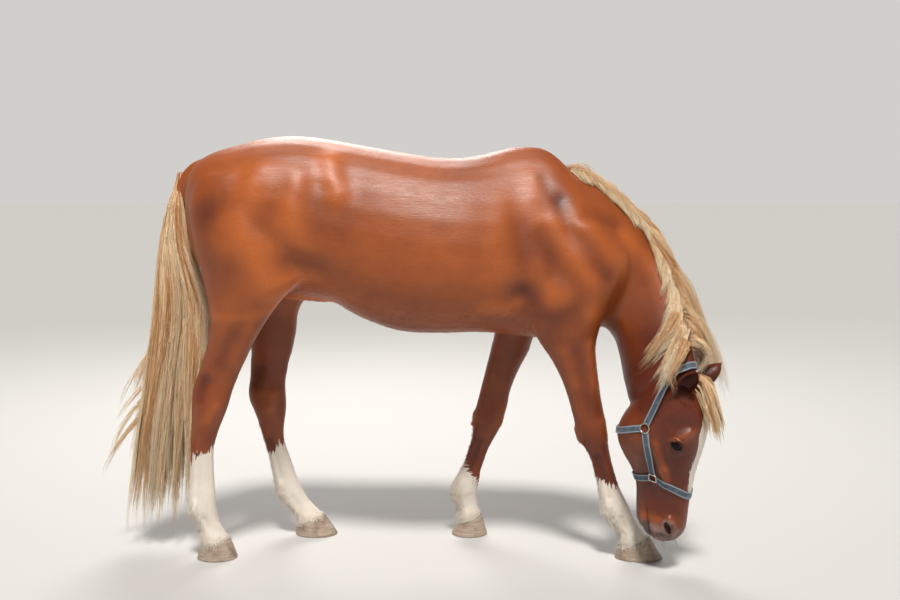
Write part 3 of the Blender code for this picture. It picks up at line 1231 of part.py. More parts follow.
def forelock_locks(tree, draw, group):
    """Locks from between the ears that hang before the face, more to its left."""
    down_face, out_of_face, to_left = head_axes()
    locks = []
    for k in range(FORELOCK_LOCKS):
        share = (k + 0.5) / FORELOCK_LOCKS
        start = head_point(draw.uniform(-0.004, 0.012), -0.048, -0.016 + 0.036 * share)
        heading = (out_of_face * 0.9 + down_face * 0.3 + to_left * (share - 0.3) * 0.6).normalized()
        length = draw.uniform(0.15, 0.25)
        drift = to_left * (0.10 + 0.30 * share) + out_of_face * 0.10
        path, normals = marched(tree, start, heading, length, 6, 0.5, drift, lift=0.009)
        locks.append(lock("forelock", path, normals, draw.uniform(0.026, 0.034), 0.011, group))
    return locks


def tail_place(z, ahead, aside):
    """A place in the tail: ahead 1 is its front outline, aside 1 its left one."""
    rows = np.array(TAIL_FLOW)[::-1]
    front, back, half = (np.interp(z, rows[:, 0], rows[:, k]) for k in (1, 2, 3))
    x = (front + back) / 2 + (front - back) / 2 * ahead
    return Vector((x, half * aside, z))


def tail_core(group):
    """A core in the upper half of the tail, so that its locks close up as real hair does."""
    rings = []
    for z in (1.340, 1.240, 1.100, 0.950, 0.800):
        narrow = 0.62 if z > 0.9 else 0.45
        ring = []
        for k in range(8):
            angle = 2 * math.pi * k / 8
            ring.append(tail_place(z, narrow * math.cos(angle), narrow * math.sin(angle)))
        rings.append(ring)
    return loft("core", rings, group)


def tail_locks(draw, group):
    """Locks round the dock and the core that hang to their own tips, and wisps blown back."""
    locks = [tail_core(group)]
    for k in range(TAIL_LOCKS):
        angle = k * GOLDEN_ANGLE + draw.uniform(-0.2, 0.2)
        share = k / (TAIL_LOCKS - 1)
        top = 1.330 - 0.420 * share ** 1.2
        tip = draw.uniform(0.09, 0.20) if k % 3 else draw.uniform(0.25, 0.50)
        twist = draw.uniform(-0.5, 0.5)
        steps = 6
        path, normals = [], []
        for n in range(steps + 1):
            along = n / steps
            z = top + (tip - top) * along
            spread_out = 0.35 + 0.52 * min(1, along * 4)
            turn = angle + twist * along
            path.append(tail_place(z, spread_out * math.cos(turn), spread_out * math.sin(turn)))
            normals.append(Vector((math.cos(turn), math.sin(turn), 0)))
        locks.append(lock("tail_lock", path, normals, draw.uniform(0.066, 0.080), 0.022, group))
    for k in range(TAIL_WISPS):
        top, tip = 0.95 - 0.16 * k, 0.60 - 0.16 * k
        reach = (0.10, 0.13, 0.11, 0.08)[k]
        path, normals = [], []
        for n in range(5):
            along = n / 4
            behind = -0.45 - 0.5 * min(1, 2 * along)
            place = tail_place(top + (tip - top) * along, behind, 0.3 * (-1) ** k)
            blown = reach * along ** 2 * (3 - 2 * along)
            path.append(place + Vector((-blown, 0.01 * k, 0)))
            normals.append(Vector((0, 1, 0)))
        locks.append(lock("wisp", path, normals, 0.026, 0.008, group))
    return locks


def grow_hair(nodes, tree, group):
    """Joins each node's locks to it with one union, and keeps the ears' roots clear of them."""
    draw = random.Random(7)
    hair = {
        "tail": tail_locks(draw, group),
        "neck": mane_locks(tree, draw, group),
        "head": forelock_locks(tree, draw, group),
    }
    for name, locks in hair.items():
        apply_boolean(nodes[name], locks, "UNION")
    for side in (RIGHT, LEFT):
        apply_boolean(nodes["head"], [make_ear(side, "room", group, None, grow=GAP)], "DIFFERENCE")
    for name in hair:
        tidy_solid(nodes[name])


def move_to_origin(things):
    shift = Matrix.Translation((*TO_MIDDLE, 0))
    for thing in things:
        thing.data.transform(shift)
        thing.data.update()


def main():
    clear_scene()
    horse = make_collection("grazing_horse")
    coat = make_material("coat", COAT, 0.45)
    white = make_material("white_coat", WHITE_COAT, 0.6)
    hair = make_material("hair", HAIR, 0.5)
    horn = make_material("hoof_horn", HORN, 0.6)
    brown = make_material("eye_brown", EYE_BROWN, 0.08)
    webbing = make_material("halter_webbing", WEBBING, 0.8)
    metal = make_material("halter_metal", METAL, 0.3, 1.0)
    skin = make_skin(horse, VOXEL, 12)
    skin = thin_out(skin, horse)
    skin_tree = tree_of([skin])
    whole = make_object("whole", skin.data.copy(), horse)
    for name in LEG_TABLES:
        apply_boolean(skin, [below_coronet(name, horse)], "DIFFERENCE")
    for cut in cut_slabs(horse):
        apply_boolean(skin, [cut], "DIFFERENCE")
    nodes = part_skin(skin, horse, {"tail": hair, "lower": white}, coat)
    for node in nodes.values():
        tidy_solid(node)
    finish_head(nodes["head"], horse)
    tidy_solid(nodes["head"])
    for side, label in ((RIGHT, "right"), (LEFT, "left")):
        nodes["ear_" + label] = make_ear(side, label, horse, coat)
        nodes["eye_" + label] = make_eye(side, label, horse, brown)
    for name in LEG_TABLES:
        nodes[name + "_hoof"] = make_hoof(name, horse, horn)
    nodes.update(make_halter(skin_tree, horse, webbing, metal))
    tree = tree_of([nodes[name] for name in nodes if name.startswith("halter")] + [whole])
    bpy.data.objects.remove(whole, do_unlink=True)
    grow_hair(nodes, tree, horse)
    move_to_origin(nodes.values())


main()
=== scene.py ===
# %% [markdown]
# A life-size grazing horse in a halter, built as a still museum model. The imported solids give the
# size and place of every part. Each is hidden here and a finer piece takes its place: one seamless
# skin, glossy eyes, ringed hooves, a webbing halter, and mane, forelock and tail of fine locks. We
# start by loading the solids.

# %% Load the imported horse
import math
import random

import bmesh
import bpy
import numpy as np
from mathutils import Matrix, Vector
from mathutils.bvhtree import BVHTree


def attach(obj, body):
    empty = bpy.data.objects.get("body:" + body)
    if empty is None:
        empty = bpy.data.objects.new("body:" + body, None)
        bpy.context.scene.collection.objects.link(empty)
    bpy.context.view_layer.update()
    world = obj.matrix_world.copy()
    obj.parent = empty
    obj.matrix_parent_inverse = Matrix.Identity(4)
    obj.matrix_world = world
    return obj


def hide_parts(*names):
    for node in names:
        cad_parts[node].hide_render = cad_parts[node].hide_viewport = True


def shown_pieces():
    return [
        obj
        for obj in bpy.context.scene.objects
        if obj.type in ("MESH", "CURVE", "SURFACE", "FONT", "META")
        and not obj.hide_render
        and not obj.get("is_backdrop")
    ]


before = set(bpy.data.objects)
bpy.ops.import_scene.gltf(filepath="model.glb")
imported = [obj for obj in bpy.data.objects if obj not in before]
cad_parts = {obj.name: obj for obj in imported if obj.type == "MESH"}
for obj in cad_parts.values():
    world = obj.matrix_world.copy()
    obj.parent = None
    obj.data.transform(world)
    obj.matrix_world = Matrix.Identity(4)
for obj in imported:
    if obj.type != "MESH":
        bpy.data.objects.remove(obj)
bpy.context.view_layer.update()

# %% [markdown]
# The photograph was taken from about head height with a moderate lens, a little down at the horse's
# right side. Lengths are measured from a zero under the girth, as in the solids' source, and the
# finished meshes move to the middle of the horse at the end. The camera stands where the
# photographer stood.

# %% Camera where the photographer stood
TO_MIDDLE = (0.168, 0.068)
CAMERA_DISTANCE, CAMERA_HEIGHT, CAMERA_PITCH, LENS = 4.02, 1.35, 5.92, 43.56
camera = bpy.data.objects.new("camera", bpy.data.cameras.new("camera"))
bpy.context.scene.collection.objects.link(camera)
camera.location = (TO_MIDDLE[0], TO_MIDDLE[1] - CAMERA_DISTANCE, CAMERA_HEIGHT)
camera.rotation_euler = (math.radians(90 - CAMERA_PITCH), 0, 0)
camera.data.lens = LENS
camera.data.sensor_width = 36
bpy.context.scene.camera = camera

# %% [markdown]
# The stage is a plain pale floor. A wide sun stands high over the near side, so that the back
# shines and the belly falls into shade, and a soft lamp behind draws the outline of the back and
# mane. The walls are as pale as the floor near the horizon and darker above it.

# %% Floor and soft lights
def plain_material(name, colour, roughness):
    material = bpy.data.materials.new(name)
    material.use_nodes = True
    shader = material.node_tree.nodes["Principled BSDF"]
    shader.inputs["Base Color"].default_value = (*colour, 1)
    shader.inputs["Roughness"].default_value = roughness
    return material


def make_floor():
    FLOOR_REACH = 90.0
    mesh = bpy.data.meshes.new("floor")
    corners = [(x * FLOOR_REACH, y * FLOOR_REACH, 0) for x, y in ((-1, -1), (1, -1), (1, 1), (-1, 1))]
    mesh.from_pydata(corners, [], [(0, 1, 2, 3)])
    floor = bpy.data.objects.new("floor", mesh)
    bpy.context.scene.collection.objects.link(floor)
    floor.location.z = -0.001
    mesh.materials.append(plain_material("studio_floor", (0.5, 0.495, 0.485), 0.8))
    floor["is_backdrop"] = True


def add_light(name, kind, place, aim, energy, colour, **looks):
    """A lamp that stands at its place and shines towards its aim."""
    lamp = bpy.data.lights.new(name, kind)
    lamp.energy = energy
    lamp.color = colour
    for label, value in looks.items():
        setattr(lamp, label, value)
    light = bpy.data.objects.new(name, lamp)
    bpy.context.scene.collection.objects.link(light)
    light.location = place
    light.rotation_euler = (Vector(aim) - Vector(place)).to_track_quat("-Z", "Y").to_euler()


def studio_walls():
    """Pale walls up to a low height and a dimmer ceiling above them."""
    world = bpy.data.worlds.new("studio")
    world.use_nodes = True
    nodes, links = world.node_tree.nodes, world.node_tree.links
    direction = nodes.new("ShaderNodeTexCoord").outputs["Generated"]
    parts = nodes.new("ShaderNodeSeparateXYZ")
    links.new(direction, parts.inputs[0])
    ramp = nodes.new("ShaderNodeMapRange")
    links.new(parts.outputs["Z"], ramp.inputs[0])
    for label, value in (("From Min", 0.16), ("From Max", 0.4), ("To Min", 0.64), ("To Max", 0.15)):
        ramp.inputs[label].default_value = value
    links.new(ramp.outputs[0], nodes["Background"].inputs["Strength"])
    nodes["Background"].inputs["Color"].default_value = (1.0, 0.975, 0.94, 1)
    bpy.context.scene.world = world


make_floor()
HORSE_MIDDLE = (0.0, 0.0, 0.95)
SUN_SPREAD = math.radians(11.0)
add_light("rim", "AREA", (-0.6, 3.4, 4.2), HORSE_MIDDLE, 170, (1.0, 0.98, 0.95), size=2.2)
add_light("sun", "SUN", (0.04, -0.5, 1.0), (0, 0, 0), 3.9, (1.0, 0.965, 0.92), angle=SUN_SPREAD)
studio_walls()
bpy.context.scene.view_settings.view_transform = "Standard"

# %% [markdown]
# The body is described by stations, as a boat's hull is: each row gives the place and size of one
# cross-section, and a smooth curve through the rows gives those between. The solids use the same
# rows.

# %% Sections of the torso and neck
RIGHT, LEFT = SIDES = (-1.0, 1.0)   # sign of y on each side of the horse
RING_POINTS = 28           # points of one body section
# Torso sections: x, top z, widest z, lowest z, half width, squareness above and below
TORSO = [
    (-0.965, 1.35, 1.29, 1.23, 0.05, 2, 2), (-0.95, 1.4, 1.29, 1.12, 0.1, 2, 2),
    (-0.916, 1.446, 1.29, 1.04, 0.145, 2, 2), (-0.86, 1.48, 1.27, 0.99, 0.19, 1.9, 2),
    (-0.768, 1.507, 1.25, 0.96, 0.228, 1.9, 2), (-0.658, 1.532, 1.24, 0.945, 0.25, 1.9, 2),
    (-0.55, 1.538, 1.22, 0.95, 0.258, 1.9, 2), (-0.439, 1.525, 1.16, 0.932, 0.256, 1.9, 2),
    (-0.335, 1.507, 1.12, 0.872, 0.264, 1.9, 2), (-0.186, 1.481, 1.09, 0.82, 0.28, 1.9, 2.1),
    (-0.037, 1.46, 1.08, 0.812, 0.287, 1.85, 2.1), (0.073, 1.463, 1.08, 0.815, 0.28, 1.75, 2.1),
    (0.16, 1.482, 1.08, 0.812, 0.262, 1.6, 2.1), (0.24, 1.5, 1.08, 0.802, 0.246, 1.5, 2.1),
    (0.31, 1.5, 1.08, 0.794, 0.234, 1.5, 2), (0.372, 1.478, 1.08, 0.79, 0.226, 1.6, 2),
    (0.44, 1.415, 1.08, 0.794, 0.218, 1.8, 2), (0.52, 1.33, 1.08, 0.815, 0.204, 1.9, 2),
    (0.58, 1.25, 1.08, 0.85, 0.184, 2, 2), (0.63, 1.18, 1.075, 0.93, 0.145, 2, 2),
    (0.66, 1.13, 1.075, 1.02, 0.08, 2, 2),
]
# Neck sections: crest x, y, z, then throat x, y, z, then half width
NECK = [
    (0.33, 0, 1.44, 0.42, 0, 0.9, 0.19), (0.44, 0, 1.412, 0.5, 0, 0.862, 0.178),
    (0.551, 0, 1.352, 0.555, 0, 0.842, 0.152), (0.625, -0.004, 1.292, 0.585, 0, 0.822, 0.132),
    (0.7, -0.016, 1.222, 0.61, -0.003, 0.79, 0.116), (0.751, -0.04, 1.143, 0.63, -0.012, 0.75, 0.105),
    (0.789, -0.08, 1.055, 0.643, -0.032, 0.71, 0.097), (0.817, -0.128, 0.962, 0.648, -0.058, 0.67, 0.091),
    (0.834, -0.18, 0.882, 0.651, -0.09, 0.634, 0.087), (0.846, -0.232, 0.806, 0.652, -0.125, 0.605, 0.084),
    (0.851, -0.28, 0.733, 0.657, -0.16, 0.572, 0.082), (0.838, -0.308, 0.668, 0.682, -0.19, 0.538, 0.07),
]

# %% Sections of the head
# Distance down the face, front and back of it, half width, place of the widest line from the
# back, squareness in front and behind
HEAD = [
    (-0.028, -0.085, -0.14, 0.034, 0.5, 2, 2), (0, -0.045, -0.17, 0.064, 0.52, 2, 2),
    (0.04, -0.014, -0.22, 0.082, 0.56, 2.1, 2), (0.09, 0.003, -0.258, 0.092, 0.62, 2.3, 2),
    (0.15, 0.009, -0.29, 0.1, 0.68, 2.4, 2.1), (0.205, 0.007, -0.306, 0.103, 0.7, 2.3, 2.2),
    (0.254, 0.003, -0.3, 0.094, 0.66, 2.2, 2.2), (0.298, 0, -0.27, 0.081, 0.6, 2.1, 2.2),
    (0.337, 0, -0.234, 0.07, 0.56, 2.1, 2.2), (0.381, 0, -0.208, 0.062, 0.54, 2.1, 2.1),
    (0.424, 0.001, -0.196, 0.059, 0.52, 2.1, 2), (0.468, 0.004, -0.188, 0.062, 0.54, 2.2, 2),
    (0.507, 0.003, -0.174, 0.063, 0.56, 2.3, 2), (0.538, -0.008, -0.15, 0.055, 0.54, 2.2, 2),
    (0.559, -0.028, -0.124, 0.04, 0.5, 2, 2), (0.57, -0.056, -0.094, 0.018, 0.5, 2, 2),
]
POLL = Vector((0.893, -0.352, 0.655))
HEAD_TURN = math.radians(33)      # to the horse's right
FACE_SLOPE = math.radians(10.0)   # of the face line back from the vertical

# %% Sections of the legs, hooves and dock
# Leg sections: z, back x, front x, centre y from the midline, half thickness
LEG_TABLES = {
    "foreleg_right": [
        (1.22, 0.32, 0.56, 0.12, 0.075), (1.1, 0.29, 0.61, 0.14, 0.088), (1, 0.268, 0.6, 0.148, 0.092),
        (0.92, 0.262, 0.566, 0.15, 0.086), (0.85, 0.29, 0.54, 0.148, 0.076),
        (0.785, 0.326, 0.526, 0.144, 0.067), (0.73, 0.364, 0.529, 0.142, 0.061),
        (0.657, 0.402, 0.537, 0.14, 0.053), (0.584, 0.428, 0.549, 0.138, 0.046),
        (0.529, 0.443, 0.56, 0.137, 0.045), (0.474, 0.458, 0.568, 0.136, 0.049),
        (0.437, 0.47, 0.573, 0.136, 0.045), (0.4, 0.494, 0.58, 0.136, 0.037),
        (0.363, 0.513, 0.588, 0.136, 0.029), (0.325, 0.522, 0.599, 0.136, 0.026),
        (0.288, 0.531, 0.61, 0.136, 0.026), (0.251, 0.539, 0.624, 0.136, 0.029),
        (0.213, 0.546, 0.643, 0.136, 0.034), (0.176, 0.551, 0.661, 0.136, 0.037),
        (0.138, 0.572, 0.676, 0.137, 0.034), (0.101, 0.606, 0.703, 0.138, 0.034),
        (0.074, 0.618, 0.722, 0.139, 0.043), (0.03, 0.62, 0.735, 0.14, 0.048),
    ],
    "foreleg_left": [
        (1.22, 0.28, 0.52, 0.12, 0.075), (1.1, 0.25, 0.57, 0.14, 0.088), (1, 0.215, 0.53, 0.148, 0.092),
        (0.92, 0.195, 0.47, 0.15, 0.086), (0.85, 0.18, 0.395, 0.148, 0.076),
        (0.783, 0.168, 0.328, 0.144, 0.067), (0.725, 0.155, 0.308, 0.142, 0.061),
        (0.647, 0.136, 0.266, 0.14, 0.053), (0.568, 0.116, 0.235, 0.138, 0.046),
        (0.52, 0.104, 0.225, 0.137, 0.045), (0.475, 0.094, 0.21, 0.136, 0.049),
        (0.44, 0.092, 0.203, 0.136, 0.047), (0.405, 0.088, 0.187, 0.136, 0.039),
        (0.371, 0.082, 0.168, 0.136, 0.031), (0.331, 0.07, 0.148, 0.136, 0.026),
        (0.291, 0.058, 0.135, 0.136, 0.026), (0.251, 0.038, 0.121, 0.136, 0.029),
        (0.212, 0.017, 0.116, 0.136, 0.034), (0.172, 0.005, 0.106, 0.136, 0.037),
        (0.14, 0.012, 0.106, 0.137, 0.034), (0.108, 0.032, 0.11, 0.138, 0.034),
        (0.074, 0.033, 0.122, 0.139, 0.043), (0.03, 0.032, 0.126, 0.14, 0.048),
    ],
    "hindleg_right": [
        (1.4, -0.88, -0.62, 0.11, 0.08), (1.304, -0.93, -0.54, 0.128, 0.104),
        (1.163, -0.914, -0.51, 0.145, 0.116), (1.08, -0.896, -0.505, 0.15, 0.114),
        (1.02, -0.88, -0.53, 0.152, 0.106), (0.948, -0.867, -0.6, 0.152, 0.092),
        (0.876, -0.861, -0.652, 0.15, 0.077), (0.803, -0.87, -0.697, 0.146, 0.063),
        (0.73, -0.892, -0.734, 0.142, 0.05), (0.694, -0.905, -0.752, 0.14, 0.044),
        (0.657, -0.92, -0.768, 0.139, 0.041), (0.621, -0.931, -0.783, 0.138, 0.044),
        (0.584, -0.936, -0.795, 0.138, 0.048), (0.547, -0.936, -0.807, 0.138, 0.049),
        (0.511, -0.937, -0.822, 0.138, 0.046), (0.474, -0.94, -0.837, 0.138, 0.039),
        (0.437, -0.943, -0.849, 0.138, 0.032), (0.4, -0.944, -0.857, 0.138, 0.028),
        (0.34, -0.947, -0.858, 0.138, 0.027), (0.288, -0.95, -0.857, 0.138, 0.028),
        (0.251, -0.955, -0.855, 0.138, 0.032), (0.213, -0.958, -0.854, 0.138, 0.036),
        (0.176, -0.955, -0.852, 0.138, 0.038), (0.138, -0.936, -0.845, 0.138, 0.034),
        (0.101, -0.918, -0.828, 0.138, 0.034), (0.072, -0.914, -0.812, 0.138, 0.042),
        (0.03, -0.91, -0.8, 0.138, 0.046),
    ],
    "hindleg_left": [
        (1.4, -0.86, -0.6, 0.11, 0.08), (1.304, -0.91, -0.52, 0.128, 0.104),
        (1.163, -0.885, -0.48, 0.145, 0.116), (1.08, -0.862, -0.46, 0.15, 0.114),
        (1.02, -0.845, -0.475, 0.152, 0.106), (0.948, -0.825, -0.535, 0.152, 0.092),
        (0.88, -0.806, -0.58, 0.15, 0.078), (0.802, -0.785, -0.59, 0.146, 0.064),
        (0.725, -0.769, -0.606, 0.142, 0.051), (0.686, -0.772, -0.618, 0.14, 0.045),
        (0.647, -0.773, -0.626, 0.139, 0.042), (0.607, -0.775, -0.634, 0.138, 0.045),
        (0.568, -0.781, -0.635, 0.138, 0.049), (0.529, -0.777, -0.633, 0.138, 0.049),
        (0.489, -0.761, -0.634, 0.138, 0.045), (0.45, -0.747, -0.64, 0.138, 0.037),
        (0.41, -0.735, -0.644, 0.138, 0.03), (0.371, -0.724, -0.642, 0.138, 0.027),
        (0.331, -0.713, -0.63, 0.138, 0.027), (0.291, -0.703, -0.616, 0.138, 0.028),
        (0.251, -0.696, -0.604, 0.138, 0.032), (0.212, -0.688, -0.59, 0.138, 0.036),
        (0.172, -0.677, -0.574, 0.138, 0.038), (0.131, -0.658, -0.548, 0.138, 0.036),
        (0.099, -0.625, -0.52, 0.138, 0.036), (0.072, -0.604, -0.497, 0.138, 0.043),
        (0.03, -0.596, -0.486, 0.138, 0.047),
    ],
}
HOOF_CENTRE = 0.139        # from the midline
# Hooves: heel and toe on the ground, heel and toe at the coronet
HOOVES = {
    "foreleg_right": (0.604, 0.778, 0.618, 0.73),
    "foreleg_left": (0.006, 0.146, 0.028, 0.124),
    "hindleg_right": (-0.926, -0.78, -0.918, -0.808),
    "hindleg_left": (-0.603, -0.441, -0.602, -0.492),
}
CORONET_HEEL, CORONET_TOE = 0.04, 0.078   # heights of the coronet's two ends
HOOF_HALF_WIDTH, CORONET_HALF_WIDTH = 0.062, 0.048
TAIL_DOCK = [
    (-0.87, 1.425, 0.038), (-0.925, 1.412, 0.036), (-0.968, 1.372, 0.031), (-1, 1.305, 0.026),
    (-1.014, 1.225, 0.021), (-1.02, 1.15, 0.015),
]

# %% [markdown]
# These helpers turn rows into closed tubes of rings. A ring is an egg-shaped outline. Its widest
# line and squareness are what make a ribcage look different from a thigh.

# %% From rows to closed tubes
def make_object(name, mesh, group, material=None):
    thing = bpy.data.objects.new(name, mesh)
    group.objects.link(thing)
    if material:
        mesh.materials.append(material)
    return thing


def finished_mesh(name, shape):
    """A new mesh with the edited shape, which is let go."""
    mesh = bpy.data.meshes.new(name)
    shape.to_mesh(mesh)
    shape.free()
    return mesh


def shade_smooth(mesh):
    for polygon in mesh.polygons:
        polygon.use_smooth = True


def capped(values):
    """The values kept from 0 to 1."""
    return np.clip(values, 0, 1)


def norms(vectors):
    return np.linalg.norm(vectors, axis=1)


def side_of(leg):
    return LEFT if leg.endswith("left") else RIGHT


def spread(rows, steps):
    """The rows with smooth rows between them, on a spline through the given ones."""
    table = np.array(rows, dtype=float)
    padded = np.vstack([2 * table[0] - table[1], table, 2 * table[-1] - table[-2]])
    smooth = []
    for k in range(len(table) - 1):
        a, b, c, d = padded[k:k + 4]
        for t in np.linspace(0, 1, steps, endpoint=False):
            bend = (2 * a - 5 * b + 4 * c - d) * t * t + (3 * b - a - 3 * c + d) * t ** 3
            smooth.append(0.5 * (2 * b + (c - a) * t + bend))
    smooth.append(table[-1])
    return smooth


def egg_ring(top, bottom, side, half_width, widest, top_power, bottom_power, count=RING_POINTS):
    """A closed section between two points, as wide as asked at its widest line."""
    top, bottom, side = (np.array(p, dtype=float) for p in (top, bottom, side))
    centre = bottom + (top - bottom) * widest
    ring = []
    for k in range(count):
        angle = 2 * math.pi * k / count
        across, up = math.cos(angle), math.sin(angle)
        power = 2 / (top_power if up >= 0 else bottom_power)
        reach = (top - centre) if up >= 0 else (bottom - centre)
        width = half_width * math.copysign(abs(across) ** power, across)
        ring.append(centre + side * width + reach * abs(up) ** power)
    return ring


def loft(name, rings, group):
    """A closed solid through rings that all have the same number of points."""
    shape = bmesh.new()
    rows = [[shape.verts.new(Vector(p)) for p in ring] for ring in rings]
    count = len(rows[0])
    for lower, upper in zip(rows, rows[1:]):
        for k in range(count):
            n = (k + 1) % count
            shape.faces.new((lower[k], lower[n], upper[n], upper[k]))
    for row in (rows[0], rows[-1]):
        hub = shape.verts.new(sum((v.co for v in row), Vector()) / count)
        for k in range(count):
            shape.faces.new((row[k], row[(k + 1) % count], hub))
    bmesh.ops.recalc_face_normals(shape, faces=shape.faces)
    if shape.calc_volume(signed=True) < 0:
        bmesh.ops.reverse_faces(shape, faces=shape.faces)
    return make_object(name, finished_mesh(name, shape), group)

# %% Rings of each part
def torso_rings():
    rings = []
    for x, top, widest, low, half, above, below in spread(TORSO, 3):
        place = (widest - low) / (top - low)
        rings.append(egg_ring((x, 0, top), (x, 0, low), (0, 1, 0), half, place, above, below))
    return rings


def neck_rings():
    rows = spread(NECK, 4)
    middles = [(row[:3] + row[3:6]) / 2 for row in rows]
    rings = []
    for k, row in enumerate(rows):
        onward = middles[min(k + 1, len(rows) - 1)] - middles[max(k - 1, 0)]
        side = np.cross(row[:3] - row[3:6], onward)
        side /= np.linalg.norm(side)
        rings.append(egg_ring(row[:3], row[3:6], side, row[6], 0.45, 1.75, 2.1))
    return rings


def head_axes():
    """Directions of the head: down the face, out of it and to its left."""
    ahead = Vector((math.cos(HEAD_TURN), -math.sin(HEAD_TURN), 0))
    left = Vector((math.sin(HEAD_TURN), math.cos(HEAD_TURN), 0))
    up = Vector((0, 0, 1))
    down_face = -ahead * math.sin(FACE_SLOPE) - up * math.cos(FACE_SLOPE)
    out_of_face = ahead * math.cos(FACE_SLOPE) - up * math.sin(FACE_SLOPE)
    return down_face, out_of_face, left


def head_point(down, out, left):
    down_face, out_of_face, to_left = head_axes()
    return POLL + down_face * down + out_of_face * out + to_left * left


def head_rings():
    side = head_axes()[2]
    rings = []
    for down, front, back, half, widest, ahead, behind in spread(HEAD, 4):
        top, bottom = head_point(down, front, 0), head_point(down, back, 0)
        rings.append(egg_ring(top, bottom, side, half, widest, ahead, behind))
    return rings


def leg_rings(name):
    side = side_of(name)
    rings = []
    for z, back, front, centre, half in spread(LEG_TABLES[name], 3):
        y = side * centre
        rings.append(egg_ring((front, y, z), (back, y, z), (0, 1, 0), half, 0.5, 2.1, 2.1))
    return rings


def dock_rings():
    rows = spread(TAIL_DOCK, 3)
    rings = []
    for k, (x, z, radius) in enumerate(rows):
        onward = Vector(rows[min(k + 1, len(rows) - 1)][:2]) - Vector(rows[max(k - 1, 0)][:2])
        across = Vector((onward.y, -onward.x)).normalized() * radius
        top, bottom = (x + across.x, 0, z + across.y), (x - across.x, 0, z - across.y)
        rings.append(egg_ring(top, bottom, (0, 1, 0), radius, 0.5, 2, 2))
    return rings

# %% [markdown]
# The tubes overlap like a rough clay figure. A voxel remesh fuses them into one closed skin, and
# smoothing melts the joins. It pushes back after every pull, so that the legs and the head don't
# shrink.

# %% Tools that fuse and smooth a skin
def join_meshes(name, pieces, group):
    shape = bmesh.new()
    for piece in pieces:
        shape.from_mesh(piece.data)
        bpy.data.objects.remove(piece, do_unlink=True)
    return make_object(name, finished_mesh(name, shape), group)


def evaluated_copy(thing, name, group):
    """A plain mesh object of the thing with its modifiers, which it then replaces."""
    graph = bpy.context.evaluated_depsgraph_get()
    graph.update()
    mesh = bpy.data.meshes.new_from_object(thing.evaluated_get(graph))
    bpy.data.objects.remove(thing, do_unlink=True)
    return make_object(name, mesh, group)


def fuse(thing, name, group, voxel):
    remesh = thing.modifiers.new("fuse", "REMESH")
    remesh.mode = "VOXEL"
    remesh.voxel_size = voxel
    remesh.adaptivity = 0.0
    return evaluated_copy(thing, name, group)


def read(items, label, width, kind=float):
    """A row of numbers for each item of a mesh."""
    values = np.empty(len(items) * width, dtype=kind)
    items.foreach_get(label, values)
    return values.reshape(-1, width)


def vertex_places(mesh):
    return read(mesh.vertices, "co", 3)


def vertex_normals(mesh):
    return read(mesh.vertices, "normal", 3)


def set_places(mesh, places):
    mesh.vertices.foreach_set("co", places.ravel())
    mesh.update()


KEEP_VOLUME = 0.53         # push that makes up for the shrinking of a smoothing round


def smooth_skin(mesh, rounds, push, weight=None):
    """Relaxes the mesh; push 0 lets it shrink, KEEP_VOLUME doesn't."""
    first, second = read(mesh.edges, "vertices", 2, int).T
    places = vertex_places(mesh)
    count = np.bincount(first, minlength=len(places)) + np.bincount(second, minlength=len(places))
    weight = np.ones(len(places)) if weight is None else weight
    for turn in range(rounds * 2):
        factor = 0.5 if turn % 2 == 0 else -push
        if factor == 0:
            continue
        total = np.zeros_like(places)
        for axis in range(3):
            total[:, axis] = np.bincount(first, places[second, axis], len(places))
            total[:, axis] += np.bincount(second, places[first, axis], len(places))
        step = total / count[:, None] - places
        places += step * (factor * weight)[:, None]
    set_places(mesh, places)

# %% Fuse the body
SKIN_GRAIN = 0.009
horse = bpy.data.collections.new("grazing_horse")
bpy.context.scene.collection.children.link(horse)


def near(places, centre, radius):
    """One at the centre, falling to nothing at about twice the radius."""
    gap = norms(places - np.array(centre, dtype=float))
    return np.exp(-(gap / radius) ** 2)


def fused_body():
    pieces = [loft("torso", torso_rings(), horse), loft("neck", neck_rings(), horse)]
    pieces += [loft("head", head_rings(), horse), loft("dock", dock_rings(), horse)]
    pieces += [loft(name, leg_rings(name), horse) for name in LEG_TABLES]
    body = fuse(join_meshes("skin", pieces, horse), "skin", horse, SKIN_GRAIN)
    places = vertex_places(body.data)
    high = capped((places[:, 2] - 0.6) / 0.25)
    face = near(places, head_point(0.33, -0.12, 0), 0.26)
    smooth_skin(body.data, 9, 0.0, high * (1 - capped(1.3 * face)))
    smooth_skin(body.data, 5, KEEP_VOLUME)
    return body


skin = fused_body()
print("fused skin:", len(skin.data.vertices), "points")

# %% [markdown]
# A lean horse in sunlight shows its muscles as ridges and grooves. Each is a brush stroke: a path,
# a radius and a height, and the skin near the path moves along its normal. The coat's colour uses
# the strokes again, with painted shade in the hollows and painted highlight on the ridges.

# %% Muscle strokes of the body
def distance_to_path(places, path):
    """Each place's distance to a path of straight pieces."""
    nearest = np.full(len(places), 1e9)
    path = [np.array(p, dtype=float) for p in path]
    for a, b in zip(path, path[1:]):
        along = b - a
        share = capped((places - a) @ along / max(along @ along, 1e-12))
        gap = norms(places - (a + share[:, None] * along))
        nearest = np.minimum(nearest, gap)
    return nearest


